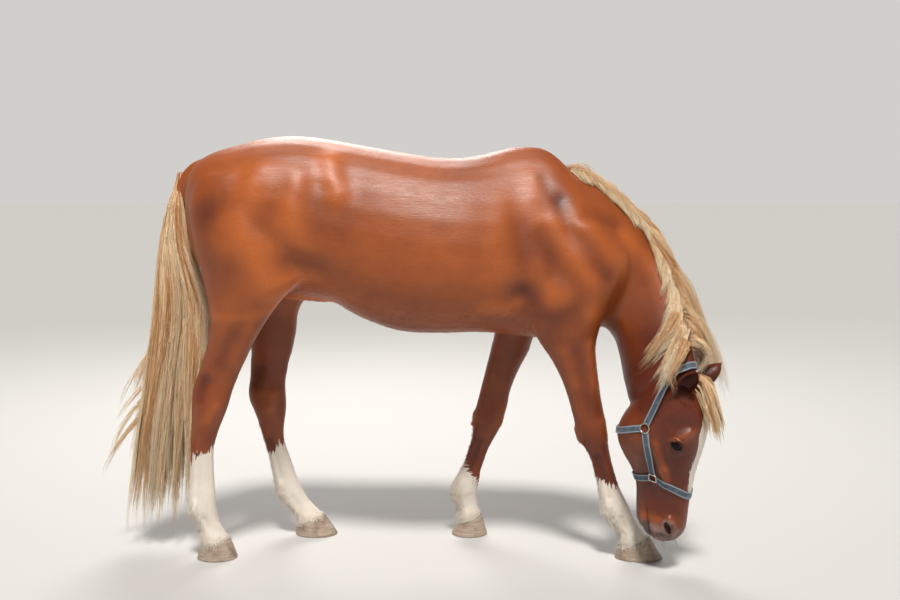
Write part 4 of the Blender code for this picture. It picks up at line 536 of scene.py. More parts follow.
BODY_STROKES = [
    ([(-0.425, 0.14, 1.445), (-0.408, 0.197, 1.392), (-0.389, 0.217, 1.335)], 0.043, 0.0104),
    ([(-0.345, 0.2, 1.385), (-0.34, 0.23, 1.29), (-0.38, 0.235, 1.18)], 0.066, -0.0043),
    ([(-0.47, 0.225, 1.36), (-0.46, 0.243, 1.254), (-0.48, 0.238, 1.15)], 0.043, -0.0033),
    ([(-0.53, 0.222, 1.37), (-0.556, 0.245, 1.288), (-0.549, 0.249, 1.22),
      (-0.51, 0.237, 1.14)], 0.043, 0.0061),
    ([(-0.57, 0.235, 1.34), (-0.59, 0.242, 1.295), (-0.62, 0.247, 1.264),
      (-0.65, 0.25, 1.225)], 0.039, -0.0037),
    ([(-0.673, 0.197, 1.402), (-0.718, 0.226, 1.323), (-0.736, 0.246, 1.247), (-0.714, 0.26, 1.186),
      (-0.683, 0.267, 1.1), (-0.644, 0.246, 0.994)], 0.048, 0.0067),
    ([(-0.76, 0.236, 1.29), (-0.84, 0.22, 1.27)], 0.049, -0.0041),
    ([(-0.86, 0.215, 1.24), (-0.85, 0.235, 1.12), (-0.82, 0.235, 0.98)], 0.039, -0.0041),
    ([(-0.75, 0.258, 1.06), (-0.695, 0.253, 0.994), (-0.658, 0.231, 0.943)], 0.043, -0.0045),
    ([(-0.55, 0.235, 1.09), (-0.517, 0.22, 1.097), (-0.465, 0.207, 1.061)], 0.036, -0.0053),
    ([(-0.57, 0.2, 1.005), (-0.529, 0.195, 1.035), (-0.468, 0.201, 1.042)], 0.026, 0.0053),
    ([(-0.65, 0.21, 0.975), (-0.585, 0.22, 1)], 0.046, 0.0067),
    ([(-0.829, 0.207, 0.894), (-0.755, 0.226, 0.882), (-0.669, 0.209, 0.902),
      (-0.622, 0.18, 0.926)], 0.018, 0.0026),
    ([(-0.58, 0, 0.96), (-0.53, 0, 0.945), (-0.48, 0, 0.925)], 0.039, 0.0102),
    ([(0.332, 0.12, 1.38), (0.351, 0.142, 1.329), (0.385, 0.152, 1.295)], 0.025, -0.0028),
    ([(0.389, 0.155, 1.298), (0.421, 0.195, 1.2), (0.479, 0.215, 1.142),
      (0.55, 0.218, 1.045)], 0.033, -0.0057),
    ([(0.32, 0.22, 1.19), (0.338, 0.228, 1.132), (0.373, 0.236, 1.063), (0.441, 0.25, 1.005),
      (0.485, 0.243, 0.96)], 0.031, -0.0053),
    ([(0.36, 0.2, 1.23), (0.436, 0.229, 1.09), (0.496, 0.233, 1.017)], 0.039, 0.0048),
    ([(0.445, 0.185, 1.235), (0.52, 0.2, 1.13), (0.59, 0.185, 1.065)], 0.045, 0.0053),
    ([(0.27, 0.216, 0.984), (0.317, 0.207, 0.912), (0.369, 0.217, 0.885), (0.42, 0.233, 0.905),
      (0.465, 0.243, 0.945)], 0.033, -0.0049),
    ([(0.3, 0.22, 1.04), (0.36, 0.235, 0.97), (0.43, 0.245, 0.96)], 0.057, 0.008),
    ([(0.255, 0.225, 1.21), (0.255, 0.231, 1.132), (0.262, 0.233, 1.062),
      (0.25, 0.225, 0.985)], 0.044, -0.0065),
    ([(0.175, 0.188, 1.288), (0.163, 0.236, 1.167), (0.174, 0.248, 1.064)], 0.053, 0.0043),
    ([(0.12, 0.22, 0.93), (0.204, 0.208, 0.923), (0.24, 0.206, 0.94)], 0.025, 0.0048),
    ([(0.3, 0.14, 1.4), (0.29, 0.19, 1.3), (0.295, 0.215, 1.2)], 0.043, 0.0049),
    ([(0.49, 0.155, 1.262), (0.59, 0.109, 1.21)], 0.029, -0.0024),
    ([(0.63, 0.095, 1.171), (0.705, 0.088, 1.095), (0.756, 0.113, 1.017),
      (0.79, 0.14, 0.93)], 0.029, 0.0043),
    ([(0.69, 0.117, 1.01), (0.715, 0.14, 0.93), (0.72, 0.18, 0.84)], 0.049, -0.0033),
    ([(0.489, 0.234, 0.955), (0.499, 0.22, 0.89)], 0.029, 0.0048),
    ([(0.62, 0.11, 1.09), (0.64, 0.11, 1.03)], 0.063, 0.0061),
]


def stroke(mesh, strokes, share=1.0):
    places, normals = vertex_places(mesh), vertex_normals(mesh)
    for path, radius, height in strokes:
        gap = distance_to_path(places, path)
        places += normals * (share * height * np.exp(-(gap / radius) ** 2))[:, None]
    set_places(mesh, places)


def on_body(points, side):
    return [(x, side * y, z) for x, y, z in points]


def on_head(points, side):
    return [head_point(down, out, aside * side) for down, out, aside in points]


def head_spot(place, side):
    return on_head([place], side)[0]


def both_sides(strokes, placed):
    return [(placed(path, side), radius, height)
            for path, radius, height in strokes for side in SIDES]

# %% Strokes of the head and legs
# Head strokes in the head's own frame: (down, out, aside) points, radius, height, on both sides
HEAD_STROKES = [
    ([(0.294, -0.085, 0.075), (0.21, -0.125, 0.095)], 0.013, 0.009),
    ([(0.333, -0.075, 0.066), (0.294, -0.085, 0.078)], 0.014, 0.006),
    ([(0.14, -0.02, 0.08), (0.16, -0.035, 0.096), (0.178, -0.06, 0.104)], 0.016, 0.01),
    ([(0.235, -0.03, 0.08), (0.263, -0.05, 0.088)], 0.02, -0.006),
    ([(0.12, -0.035, 0.085), (0.13, -0.07, 0.1)], 0.022, -0.008),
    ([(0.25, -0.18, 0.09), (0.18, -0.215, 0.095)], 0.06, 0.01),
    ([(0.294, -0.235, 0.055), (0.22, -0.285, 0.06)], 0.02, 0.004),
    ([(0.355, -0.12, 0.065), (0.407, -0.11, 0.062)], 0.028, -0.008),
    ([(0.294, -0.145, 0.085), (0.363, -0.15, 0.07)], 0.022, -0.005),
    ([(0.468, -0.04, 0.055), (0.499, -0.025, 0.052), (0.525, -0.035, 0.048)], 0.014, 0.01),
    ([(0.485, -0.075, 0.06), (0.52, -0.08, 0.052)], 0.012, 0.004),
    ([(0.442, -0.03, 0.048), (0.468, -0.045, 0.06)], 0.014, -0.003),
    ([(0.485, -0.1, 0.055), (0.538, -0.085, 0.04), (0.566, -0.072, 0.01)], 0.013, 0.005),
    ([(0.49, -0.135, 0.05), (0.533, -0.12, 0.036), (0.555, -0.108, 0.008)], 0.013, 0.006),
    ([(0.52, -0.15, 0.02), (0.507, -0.16, 0)], 0.022, 0.005),
]


# Leg strokes: (height, share of the way forward) points, how far aside, radius, height of the stroke.
# Aside 1 is the outer face of the leg and -1 its inner one.
LOW_LEG_STROKES = [
    ([(0.38, 0.36), (0.3, 0.36), (0.23, 0.36)], 0.01, -0.0055),
    ([(0.2, 0.25), (0.17, 0.2)], 0.014, 0.0043), ([(0.15, 0.55), (0.12, 0.5)], 0.014, -0.0043),
]
HIGH_LEG_STROKES = {
    "foreleg": [
        ([(0.5, 0.85), (0.45, 0.85)], 0.5, 0.022, 0.0072),
        ([(0.5, 0.85), (0.45, 0.85)], -0.5, 0.022, 0.0072),
        ([(0.475, 0.02), (0.44, 0.02)], 0.0, 0.016, 0.0087),
        ([(0.76, 0.62), (0.66, 0.6), (0.56, 0.55)], 1.0, 0.02, -0.0045),
        ([(0.78, 0.85), (0.64, 0.85)], 0.8, 0.024, 0.0087),
        ([(0.76, 0.3), (0.64, 0.25)], 1.0, 0.024, 0.0058),
    ],
    "hindleg": [
        ([(0.66, 0.28), (0.6, 0.22)], 1.0, 0.018, -0.009),
        ([(0.66, 0.28), (0.6, 0.22)], -1.0, 0.018, -0.009),
        ([(0.56, 0.7), (0.51, 0.6)], 1.0, 0.02, 0.0058),
        ([(0.56, 0.7), (0.51, 0.6)], -1.0, 0.02, 0.0072),
        ([(0.86, 0.6), (0.72, 0.52)], 1.0, 0.026, -0.0055),
        ([(0.84, 0.85), (0.72, 0.85)], 0.8, 0.026, 0.0072),
    ],
}


def leg_section(name, z):
    """Back, front, centre from the midline and half thickness of a leg at a height."""
    rows = np.array(LEG_TABLES[name])[::-1]
    return [np.interp(z, rows[:, 0], rows[:, k]) for k in range(1, 5)]


def on_leg_face(name, points, aside):
    """Places on a leg for points of height and share of the way forward."""
    path = []
    for z, share in points:
        back, front, centre, half = leg_section(name, z)
        path.append((back + (front - back) * share, side_of(name) * (centre + half * aside), z))
    return path


def leg_strokes():
    """Knees, hocks, tendons and fetlocks of all four legs."""
    strokes = []
    for name in LEG_TABLES:
        rows = [(points, aside, *rest) for aside in (1.0, -1.0) for points, *rest in LOW_LEG_STROKES]
        for points, aside, radius, height in rows + HIGH_LEG_STROKES[name.split("_")[0]]:
            strokes.append((on_leg_face(name, points, aside), radius, height))
    return strokes

# %% [markdown]
# Fine features need a finer mesh, but only where they are. So the head and the lower legs are split
# once and the eyes and muzzle twice, before their strokes are made.

# %% Refine the head and legs, then carve
def in_head_frame(places):
    """Each place's distance down the face, out of it and to its left."""
    offset = places - np.array(POLL)
    return [offset @ np.array(axis) for axis in head_axes()]


def refine(thing, chosen):
    """Splits every face whose middle is chosen into four."""
    shape = bmesh.new()
    shape.from_mesh(thing.data)
    middles = np.array([face.calc_center_median() for face in shape.faces])
    edges = {edge for face, yes in zip(shape.faces, chosen(middles)) if yes for edge in face.edges}
    bmesh.ops.subdivide_edges(shape, edges=list(edges), cuts=1, use_grid_fill=True)
    shape.to_mesh(thing.data)
    shape.free()


def head_or_lower_leg(places):
    down, out, aside = in_head_frame(places)
    head = (down > -0.1) & (out > -0.33) & (np.abs(aside) < 0.16) & (places[:, 2] < 0.8)
    return head | (places[:, 2] < 0.62)


EYE_PLACE = (0.194, -0.056, 0.0805)  # of the eyeball's centre, in the head's frame


def eyes_and_muzzle(places):
    down, out, aside = in_head_frame(places)
    chosen = (down > 0.44) & (np.abs(aside) < 0.12) & (out > -0.25)
    for side in SIDES:
        chosen |= norms(places - np.array(head_spot(EYE_PLACE, side))) < 0.048
    return chosen


stroke(skin.data, both_sides(BODY_STROKES, on_body))
refine(skin, head_or_lower_leg)
smooth_skin(skin.data, 2, KEEP_VOLUME)
refine(skin, eyes_and_muzzle)
smooth_skin(skin.data, 1, KEEP_VOLUME)
stroke(skin.data, both_sides(HEAD_STROKES, on_head))
stroke(skin.data, leg_strokes())
smooth_skin(skin.data, 1, KEEP_VOLUME)
print("carved skin:", len(skin.data.vertices), "points")

# %% [markdown]
# The ears, lids and nostrils are shaped by adding and cutting small closed forms. An ear is a leaf
# rolled into a cup, lofted from crescents. A Boolean union joins it to the head, and the join is
# smoothed until it looks grown.

# %% Ears
EAR_PLACE = (0.034, -0.089, 0.067)   # of the middle of the ear's root
EAR_WIDTH = 0.034
EAR_LENGTHS = {RIGHT: 0.124, LEFT: 0.138}
# How far each ear leans out of the face line, spreads sideways and turns its cup outwards
EAR_STANCE = {RIGHT: (0.42, 0.13, 0.95), LEFT: (0.56, 0.25, 1.25)}
EAR_ROOT_DEPTH = 0.022               # of the ear's closed foot inside the skull


def squared(direction, axis):
    """The direction with its run along the axis taken out."""
    return (direction - axis * direction.dot(axis)).normalized()


def turned(along, up):
    """The turn of a shape whose length lies along and whose height lies up."""
    return Matrix((along, up.cross(along), up)).transposed().to_4x4()


def ear_frame(side):
    """An ear's root and its directions of growth, opening and width."""
    down_face, out_of_face, to_left = head_axes()
    lean, spread_out, turn_out = EAR_STANCE[side]
    growth = (-down_face + out_of_face * lean + to_left * side * spread_out).normalized()
    opening = (to_left * side * math.sin(turn_out) + out_of_face * math.cos(turn_out))
    opening = squared(opening, growth)
    return head_spot(EAR_PLACE, side), growth, opening, growth.cross(opening).normalized()


def ear_rings(side, steps, arc_points):
    """Crescent sections from the solid root to the pointed tip."""
    root, growth, opening, across = ear_frame(side)
    length = EAR_LENGTHS[side]
    rings = []
    for k in range(steps + 1):
        share = k / steps
        climb = (length + EAR_ROOT_DEPTH) * share - EAR_ROOT_DEPTH
        rise = max(climb, 0) / length
        width = EAR_WIDTH * (0.72 + 0.9 * rise - 0.35 * rise ** 2) * (1 - rise ** 3.2) ** 0.75
        width = max(width, 0.0035)
        depth = width * (1.0 - 0.35 * rise)
        hollow = min(max((rise - 0.06) / 0.22, 0), 1)
        wall = min(0.0045, width * 0.42)
        bend = 0.016 * rise * rise
        middle = root + growth * climb + opening * bend
        outer, inner = [], []
        for n in range(arc_points):
            angle = math.radians(-28 + 236 * n / (arc_points - 1))
            outer.append(middle + across * width * math.cos(angle) - opening * depth * math.sin(angle))
        for n in reversed(range(arc_points)):
            angle = math.radians(-22 + 224 * n / (arc_points - 1))
            reach = depth - wall if math.sin(angle) > 0 else depth
            sink = math.sin(angle) * (hollow if math.sin(angle) > 0 else 1)
            inner.append(middle + across * (width - wall) * math.cos(angle) - opening * reach * sink)
        rings.append(outer + inner)
    return rings


def carve(target, tool, operation):
    """Joins the tool to the target or cuts it away, and removes the tool."""
    step = target.modifiers.new("step", "BOOLEAN")
    step.operation = operation
    step.solver = "MANIFOLD"
    step.object = tool
    shaped = evaluated_copy(target, "skin", horse)
    bpy.data.objects.remove(tool, do_unlink=True)
    return shaped


def grown_ears(body):
    for side in SIDES:
        ear = loft("ear", ear_rings(side, 26, 15), horse)
        smooth_skin(ear.data, 2, KEEP_VOLUME)
        body = carve(body, ear, "UNION")
        root, growth, _, _ = ear_frame(side)
        weight = near(vertex_places(body.data), root + growth * 0.004, 0.028)
        smooth_skin(body.data, 5, 0.3, weight)
    return body


skin = grown_ears(skin)

# %% [markdown]
# The eyelids wrap the eyeball. The skin near the eye is pushed out to a sphere a lid's thickness
# larger than the ball, and an almond is cut through it. The nostril is cut with a slanted egg, and
# the mouth is a groove drawn round the muzzle.

# %% Lids, nostrils and mouth
EYE_RADIUS, LID_THICKNESS = 0.0215, 0.0045
# Half length of the eye's opening, height above its middle line and depth below it
EYE_SLIT = (0.0208, 0.0142, 0.0105)
# Folds of the lids: height over the eye's middle, half length, radius and height of the stroke
LID_FOLDS = [
    (0.0195, 0.024, 0.003, -0.0036), (0.024, 0.023, 0.0036, 0.0032), (0.029, 0.021, 0.0036, -0.0032),
    (-0.016, 0.019, 0.003, -0.0026), (-0.0205, 0.017, 0.0036, 0.002),
]
NOSTRIL_PLACE = (0.5, -0.038, 0.058)
MOUTH_LINE = [
    (0.461, -0.132, 0.062), (0.481, -0.124, 0.061), (0.507, -0.112, 0.056), (0.533, -0.102, 0.046),
    (0.555, -0.094, 0.03), (0.567, -0.088, 0.012), (0.57, -0.086, 0),
]


def eye_frame(side):
    """The eyeball's centre, and its outward, rearward and upward directions."""
    down_face, out_of_face, to_left = head_axes()
    outward = (to_left * side + out_of_face * 0.28).normalized()
    upward = (-down_face + out_of_face * 0.45).normalized()
    rearward = outward.cross(upward) * side
    upward = rearward.cross(outward).normalized() * side
    if upward.dot(-down_face) < 0:
        upward.negate()
    return head_spot(EYE_PLACE, side), outward, rearward.normalized(), upward


def eye_opening(side, group):
    """An almond prism that parts the upper and lower lid."""
    centre, outward, rearward, upward = eye_frame(side)
    outline = []
    for k in range(14):
        angle = 2 * math.pi * k / 14
        along, across = math.cos(angle), math.sin(angle)
        height = EYE_SLIT[1] if across > 0 else EYE_SLIT[2]
        rise = height * math.copysign(abs(across) ** 1.3, across)
        outline.append(rearward * EYE_SLIT[0] * along + upward * rise)
    rings = []
    for reach, share in ((0.008, 0.9), (0.045, 1.35)):
        rings.append([centre + spot * share + outward * reach for spot in outline])
    return loft("opening", rings, group)


def ball(name, centre, radius, turn=None, stretch=(1, 1, 1), segments=32):
    shape = bmesh.new()
    bmesh.ops.create_uvsphere(shape, u_segments=segments, v_segments=segments // 2, radius=radius)
    size = Matrix.Diagonal((*stretch, 1))
    place = Matrix.Translation(centre) @ (turn or Matrix.Identity(4)) @ size
    bmesh.ops.transform(shape, matrix=place, verts=shape.verts)
    return make_object(name, finished_mesh(name, shape), horse)


def nostril_egg(side):
    """A slanted egg that hollows one nostril."""
    down_face, out_of_face, to_left = head_axes()
    along = (down_face + out_of_face * 0.45 - to_left * side * 0.35).normalized()
    inward = (to_left * side + out_of_face * 0.5).normalized()
    turn = turned(along, squared(inward, along))
    return ball("nostril", head_spot(NOSTRIL_PLACE, side), 0.013, turn, (1.75, 0.8, 1.35))


def wrap_eyes(mesh):
    """Pushes the skin round each eye out to the lids' sphere."""
    for side in SIDES:
        centre, outward = (np.array(v) for v in eye_frame(side)[:2])
        places = vertex_places(mesh)
        offset = places - centre
        gap = norms(offset)
        facing = offset @ outward > 0
        lid = EYE_RADIUS + LID_THICKNESS
        pushed = np.maximum(gap, lid - 0.25 * np.maximum(0, gap - lid))
        places[facing] += (offset * ((pushed - gap) / gap)[:, None])[facing]
        set_places(mesh, places)


def lid_folds(tree):
    """Strokes of the folds above and below each eye, laid on the skin."""
    strokes = []
    for side in SIDES:
        centre, outward, rearward, upward = eye_frame(side)
        for lift, reach, radius, height in LID_FOLDS:
            path = []
            for along in np.linspace(-1, 1, 9):
                spot = centre + rearward * reach * along + upward * lift * (1 - 0.55 * along ** 2)
                path.append(tree.find_nearest(spot + outward * 0.018)[0])
            strokes.append((path, radius, height))
    return strokes


def soften(body, centres, radius, rounds, push):
    """Smooths the skin near the two centres."""
    places = vertex_places(body.data)
    weight = sum(near(places, centre, radius) for centre in centres)
    smooth_skin(body.data, rounds, push, capped(weight))


def open_features(body):
    wrap_eyes(body.data)
    tree = BVHTree.FromObject(body, bpy.context.evaluated_depsgraph_get())
    stroke(body.data, lid_folds(tree))
    for side in SIDES:
        line = [tree.find_nearest(p)[0] for p in on_head(MOUTH_LINE, side)]
        stroke(body.data, [(line, 0.0035, -0.0065)])
    for side in SIDES:
        body = carve(body, eye_opening(side, horse), "DIFFERENCE")
        body = carve(body, nostril_egg(side), "DIFFERENCE")
    soften(body, [head_spot(NOSTRIL_PLACE, side) for side in SIDES], 0.022, 2, 0.4)
    soften(body, [eye_frame(side)[0] for side in SIDES], 0.02, 1, 0.3)
    return body


skin = open_features(skin)
print("finished skin:", len(skin.data.polygons), "faces")

# %% [markdown]
# The legs end at the coronet, where the horn begins, so the skin is cut off there along a slope.
# The whole skin then shrinks by the depth of the short coat, which the solids include.

# %% Cut the skin at the hooves
COAT_DEPTH = 0.0015
GAP = 0.0003               # between the skin's edge and the hoof


def below_coronet(name, group):
    """The space under a leg's coronet, to cut the leg off above its hoof."""
    heel, toe = HOOVES[name][2:]
    centre = side_of(name) * HOOF_CENTRE
    slope = (CORONET_TOE - CORONET_HEEL) / (toe - heel)
    corners = [(heel - 0.1, -0.12), (toe + 0.1, -0.12), (toe + 0.1, 0.12), (heel - 0.1, 0.12)]
    rings = []
    for depth in (0.2, 0.0):
        rings.append([(x, centre + y, CORONET_HEEL + slope * (x - heel) + GAP - depth) for x, y in corners])
    return loft(name + "_coronet_cut", rings, group)


for name in LEG_TABLES:
    skin = carve(skin, below_coronet(name, horse), "DIFFERENCE")
set_places(skin.data, vertex_places(skin.data) - vertex_normals(skin.data) * COAT_DEPTH)
skin_tree = BVHTree.FromObject(skin, bpy.context.evaluated_depsgraph_get())

# %% [markdown]
# The markings and the painted shade are fields: numbers worked out for any place on the horse. The
# white field is the distance inside the blaze and the stockings, and negative outside; the relief
# and dark fields are painted shade and highlight. The skin keeps the fields at its points and every
# tuft keeps those of its root, so both carry the same markings and painted shade.

# %% Fields of the markings and the painted shade
# Height of each stocking's edge at the back and at the front of the leg
STOCKINGS = {
    "hindleg_right": (0.365, 0.412), "hindleg_left": (0.322, 0.362),
    "foreleg_right": (0.3, 0.262), "foreleg_left": (0.285, 0.205),
}
BLAZE_CRISPNESS = 3.0      # how much less ragged the blaze's edge is than a stocking's
# The blaze: distance down the face, half width, offset to the left
BLAZE = [
    (0.06, 0.01, 0), (0.1, 0.028, 0), (0.17, 0.034, -0.002), (0.27, 0.03, -0.002), (0.33, 0.022, -0.002),
    (0.37, 0.014, -0.001), (0.392, 0.003, 0), (0.405, -0.02, 0),
]


def leg_shares(name, places):
    """How far forward on the leg each place is, from 0 at its back to 1 at its front."""
    back, front = leg_section(name, places[:, 2])[:2]
    return capped((places[:, 0] - back) / (front - back))


def on_leg(name, places, margin=0.014):
    """True for places on that leg below the body, judged by the leg's own sections."""
    back, front, centre, half = leg_section(name, places[:, 2])
    inside = (places[:, 0] > back - margin) & (places[:, 0] < front + margin)
    gap = np.abs(places[:, 1] - side_of(name) * centre)
    return inside & (gap < half + margin) & (places[:, 2] < 0.75)


def white_field(places):
    """Metres inside the white markings, negative outside them."""
    field = np.full(len(places), -0.2)
    for name, (behind, before) in STOCKINGS.items():
        chosen = on_leg(name, places)
        share = leg_shares(name, places)
        edge = behind + (before - behind) * share
        field[chosen] = np.maximum(field, edge - places[:, 2])[chosen]
    down, out, aside = in_head_frame(places)
    rows = np.array(BLAZE)
    half = np.interp(down, rows[:, 0], rows[:, 1], left=-0.05, right=-0.05)
    offset = np.interp(down, rows[:, 0], rows[:, 2])
    blaze = BLAZE_CRISPNESS * (half - np.abs(aside - offset))
    face = (out > -0.055) & (down > 0.02) & (down < 0.56)
    field[face] = np.maximum(field, blaze)[face]
    return np.clip(field, -0.2, 0.2)


def muzzle_field(places):
    """One on the bare skin of the lips and nostrils, falling to nothing above them."""
    down, out, aside = in_head_frame(places)
    share = capped((down - 0.472) / 0.055) * (np.abs(aside) < 0.11) * (out > -0.26)
    share *= ~(on_leg("foreleg_right", places) | on_leg("foreleg_left", places))
    for side in SIDES:
        nostril = head_point(NOSTRIL_PLACE[0] - 0.004, NOSTRIL_PLACE[1], NOSTRIL_PLACE[2] * side)
        share = np.maximum(share, 1.3 * near(places, nostril, 0.026))
    return capped(share)


def hollow_shade_field(places):
    """One where shade is painted into hollows: ear cups, nostrils, round the eyes and along the mouth."""
    share = np.zeros(len(places))
    for side in SIDES:
        centre, _, rearward, upward = (np.array(v) for v in eye_frame(side))
        offset = places - centre
        oval = (offset @ rearward / 0.025) ** 2 + (offset @ upward / 0.0175) ** 2
        share += 1.5 * np.exp(-oval ** 2) * (norms(offset) < 0.04)
        nostril = head_point(NOSTRIL_PLACE[0], NOSTRIL_PLACE[1], (NOSTRIL_PLACE[2] - 0.01) * side)
        share += near(places, nostril, 0.014) * 1.5
        root, growth, opening, _ = ear_frame(side)
        for climb in (0.035, 0.06, 0.085):
            share += 0.8 * near(places, root + growth * climb - opening * 0.004, 0.02)
        line = on_head(MOUTH_LINE, side)
        share += 0.8 * np.exp(-(distance_to_path(places, line) / 0.006) ** 2)
    return capped(share)


# The relief strokes are painted into the coat as shade in the grooves and highlight on the ridges, as
# strongly as these shares say for body, head and legs.
RELIEF_SHADE_SHARES = (3.4, 1.6, 1.1)   # how strongly body, head and legs show their relief


def painted_relief_shade_field(places):
    """Painted highlight above nothing on muscle ridges, painted shade below it in grooves, over the neck
    and head and low down.
    """
    field = np.zeros(len(places))
    groups = (both_sides(BODY_STROKES, on_body), both_sides(HEAD_STROKES, on_head), leg_strokes())
    for strokes, share in zip(groups, RELIEF_SHADE_SHARES):
        for path, radius, height in strokes:
            gap = distance_to_path(places, path)
            strength = max(-0.7, min(0.7, share * height / radius))
            field += strength * np.exp(-(gap / (1.3 * radius)) ** 2)
    # Painted shade: darker towards the front over the neck and head, and darker low down.
    field -= 0.42 * capped((places[:, 0] - 0.45) / 0.25)
    field -= 0.38 * capped((0.95 - places[:, 2]) / 0.15)
    return np.clip(field, -1.2, 1)


def steep_field(places):
    """Nothing where the coat lies along the back, one where it runs down the legs and head."""
    low = capped((0.95 - places[:, 2]) / 0.2) * (np.abs(places[:, 0] + 0.05) > 0.28)
    front = capped((places[:, 0] - 0.42) / 0.2)
    return capped(low + front)


# The relief and dark fields carry painted shade and painted highlight; white and muzzle are markings, and
# steep is the lie of the hair.
FIELDS = {"white": white_field, "muzzle": muzzle_field, "dark": hollow_shade_field,
          "relief": painted_relief_shade_field, "steep": steep_field}


def keep_values(mesh, label, values):
    attribute = mesh.attributes.new(label, "FLOAT", "POINT")
    attribute.data.foreach_set("value", values.astype(np.float32))


def keep_map(mesh, name, spots):
    """A flat map of the mesh from one spot for each of its points."""
    corners = read(mesh.loops, "vertex_index", 1, int).ravel()
    mesh.uv_layers.new(name=name).data.foreach_set("uv", spots[corners].astype(np.float32).ravel())


for label, field in FIELDS.items():
    keep_values(skin.data, label, field(vertex_places(skin.data)))
print("fields on the skin:", sorted(FIELDS))

# %% [markdown]
# Materials are networks of nodes. This helper adds one node and fills its sockets from plain
# values or from other nodes' outputs, which keeps the networks below short enough to read.

# %% Helpers for node networks
def fill(tree, node, sockets):
    """Fills sockets by name or number with plain values or other nodes' outputs."""
    for label, value in sockets.items():
        if isinstance(value, bpy.types.NodeSocket):
            tree.links.new(value, node.inputs[label])
        else:
            node.inputs[label].default_value = value
    return node.outputs


def add_node(tree, kind, sockets, **settings):
    """A new node's outputs."""
    node = tree.nodes.new("ShaderNode" + kind)
    for label, value in settings.items():
        setattr(node, label, value)
    return fill(tree, node, sockets)


def math_node(tree, operation, *values):
    return add_node(tree, "Math", dict(enumerate(values)), operation=operation)[0]


def times(tree, first, second):
    return math_node(tree, "MULTIPLY", first, second)


def plus(tree, first, *others):
    for other in others:
        first = math_node(tree, "ADD", first, other)
    return first


def minus(tree, first, second):
    return math_node(tree, "SUBTRACT", first, second)


def blend(tree, factor, first, second):
    return add_node(tree, "Mix", {"Factor": factor, 6: first, 7: second}, data_type="RGBA")[2]


def mix_values(tree, factor, first, second):
    return add_node(tree, "Mix", {"Factor": factor, 2: first, 3: second})[0]


def stretch(tree, value, low, high, smooth=False):
    """The value spread from 0 at low to 1 at high."""
    kind = "SMOOTHSTEP" if smooth else "LINEAR"
    return add_node(tree, "MapRange", {0: value, 1: low, 2: high}, interpolation_type=kind)[0]


def noise(tree, place, scale, detail=2.0, turn=(0, 0, 0), size=(1, 1, 1)):
    mapped = add_node(tree, "Mapping", {"Vector": place, "Rotation": turn, "Scale": size})
    return add_node(tree, "TexNoise", {"Vector": mapped[0], "Scale": scale, "Detail": detail})["Fac"]


def field_node(tree, label):
    return add_node(tree, "Attribute", {}, attribute_name=label)["Fac"]


def here(tree):
    return add_node(tree, "TexCoord", {})["Object"]


def bump(tree, strength, distance, height):
    sockets = {"Strength": strength, "Distance": distance, "Height": height}
    return add_node(tree, "Bump", sockets)[0]


def new_group(name, inputs, outputs):
    """A node group with named sockets, and its two end nodes."""
    group = bpy.data.node_groups.new(name, "ShaderNodeTree")
    for in_out, sockets in (("INPUT", inputs), ("OUTPUT", outputs)):
        for label, kind in sockets.items():
            group.interface.new_socket(name=label, in_out=in_out, socket_type="NodeSocket" + kind)
    return group, group.nodes.new("NodeGroupInput").outputs, group.nodes.new("NodeGroupOutput")


def use_group(tree, group, sockets):
    node = tree.nodes.new("ShaderNodeGroup")
    node.node_tree = group
    return fill(tree, node, sockets)


def new_material(name):
    """A material with its tree and its shader."""
    material = bpy.data.materials.new(name)
    material.use_nodes = True
    return material, material.node_tree, material.node_tree.nodes["Principled BSDF"]

# %% [markdown]
# Chestnut is a warm red-brown that is never even: large soft patches shift between deep red and
# golden. Painted shade darkens the hollows, the neck and head and the lower body, and painted
# highlight makes the ridges more golden. White hair has a ragged edge, because single hairs of both
# colours mix there: fine streaky noise moves the edge.

# %% The chestnut and white coat
def streak_group():
    """Fine hair streaks, level where steep is 0 and upright where it is 1."""
    group, given, out = new_group("hair_streaks", {"Steep": "Float"}, {"Fine": "Float", "Coarse": "Float"})
    place = here(group)
    for label, scale in (("Fine", 520.0), ("Coarse", 150.0)):
        level = noise(group, place, scale, 2.0, (0, 0.25, 0), (0.1, 1, 1))
        upright = noise(group, place, scale, 2.0, (0, -0.18, 0), (1, 1, 0.1))
        fill(group, out, {label: mix_values(group, given["Steep"], level, upright)})
    return group


DEEP_RED, GOLDEN, SHADED_HAIR = (0.085, 0.011, 0.002, 1), (0.54, 0.13, 0.018, 1), (0.17, 0.03, 0.007, 1)
WARM_WHITE, CREAM_WHITE, GREY_HAIR = (0.78, 0.74, 0.67, 1), (0.7, 0.62, 0.52, 1), (0.55, 0.48, 0.4, 1)
DARK_LIP, PALE_LIP, HOLLOW_SHADE_AND_LASH_DARK = (0.075, 0.05, 0.045, 1), (0.36, 0.22, 0.19, 1), (0.018, 0.008, 0.005, 1)


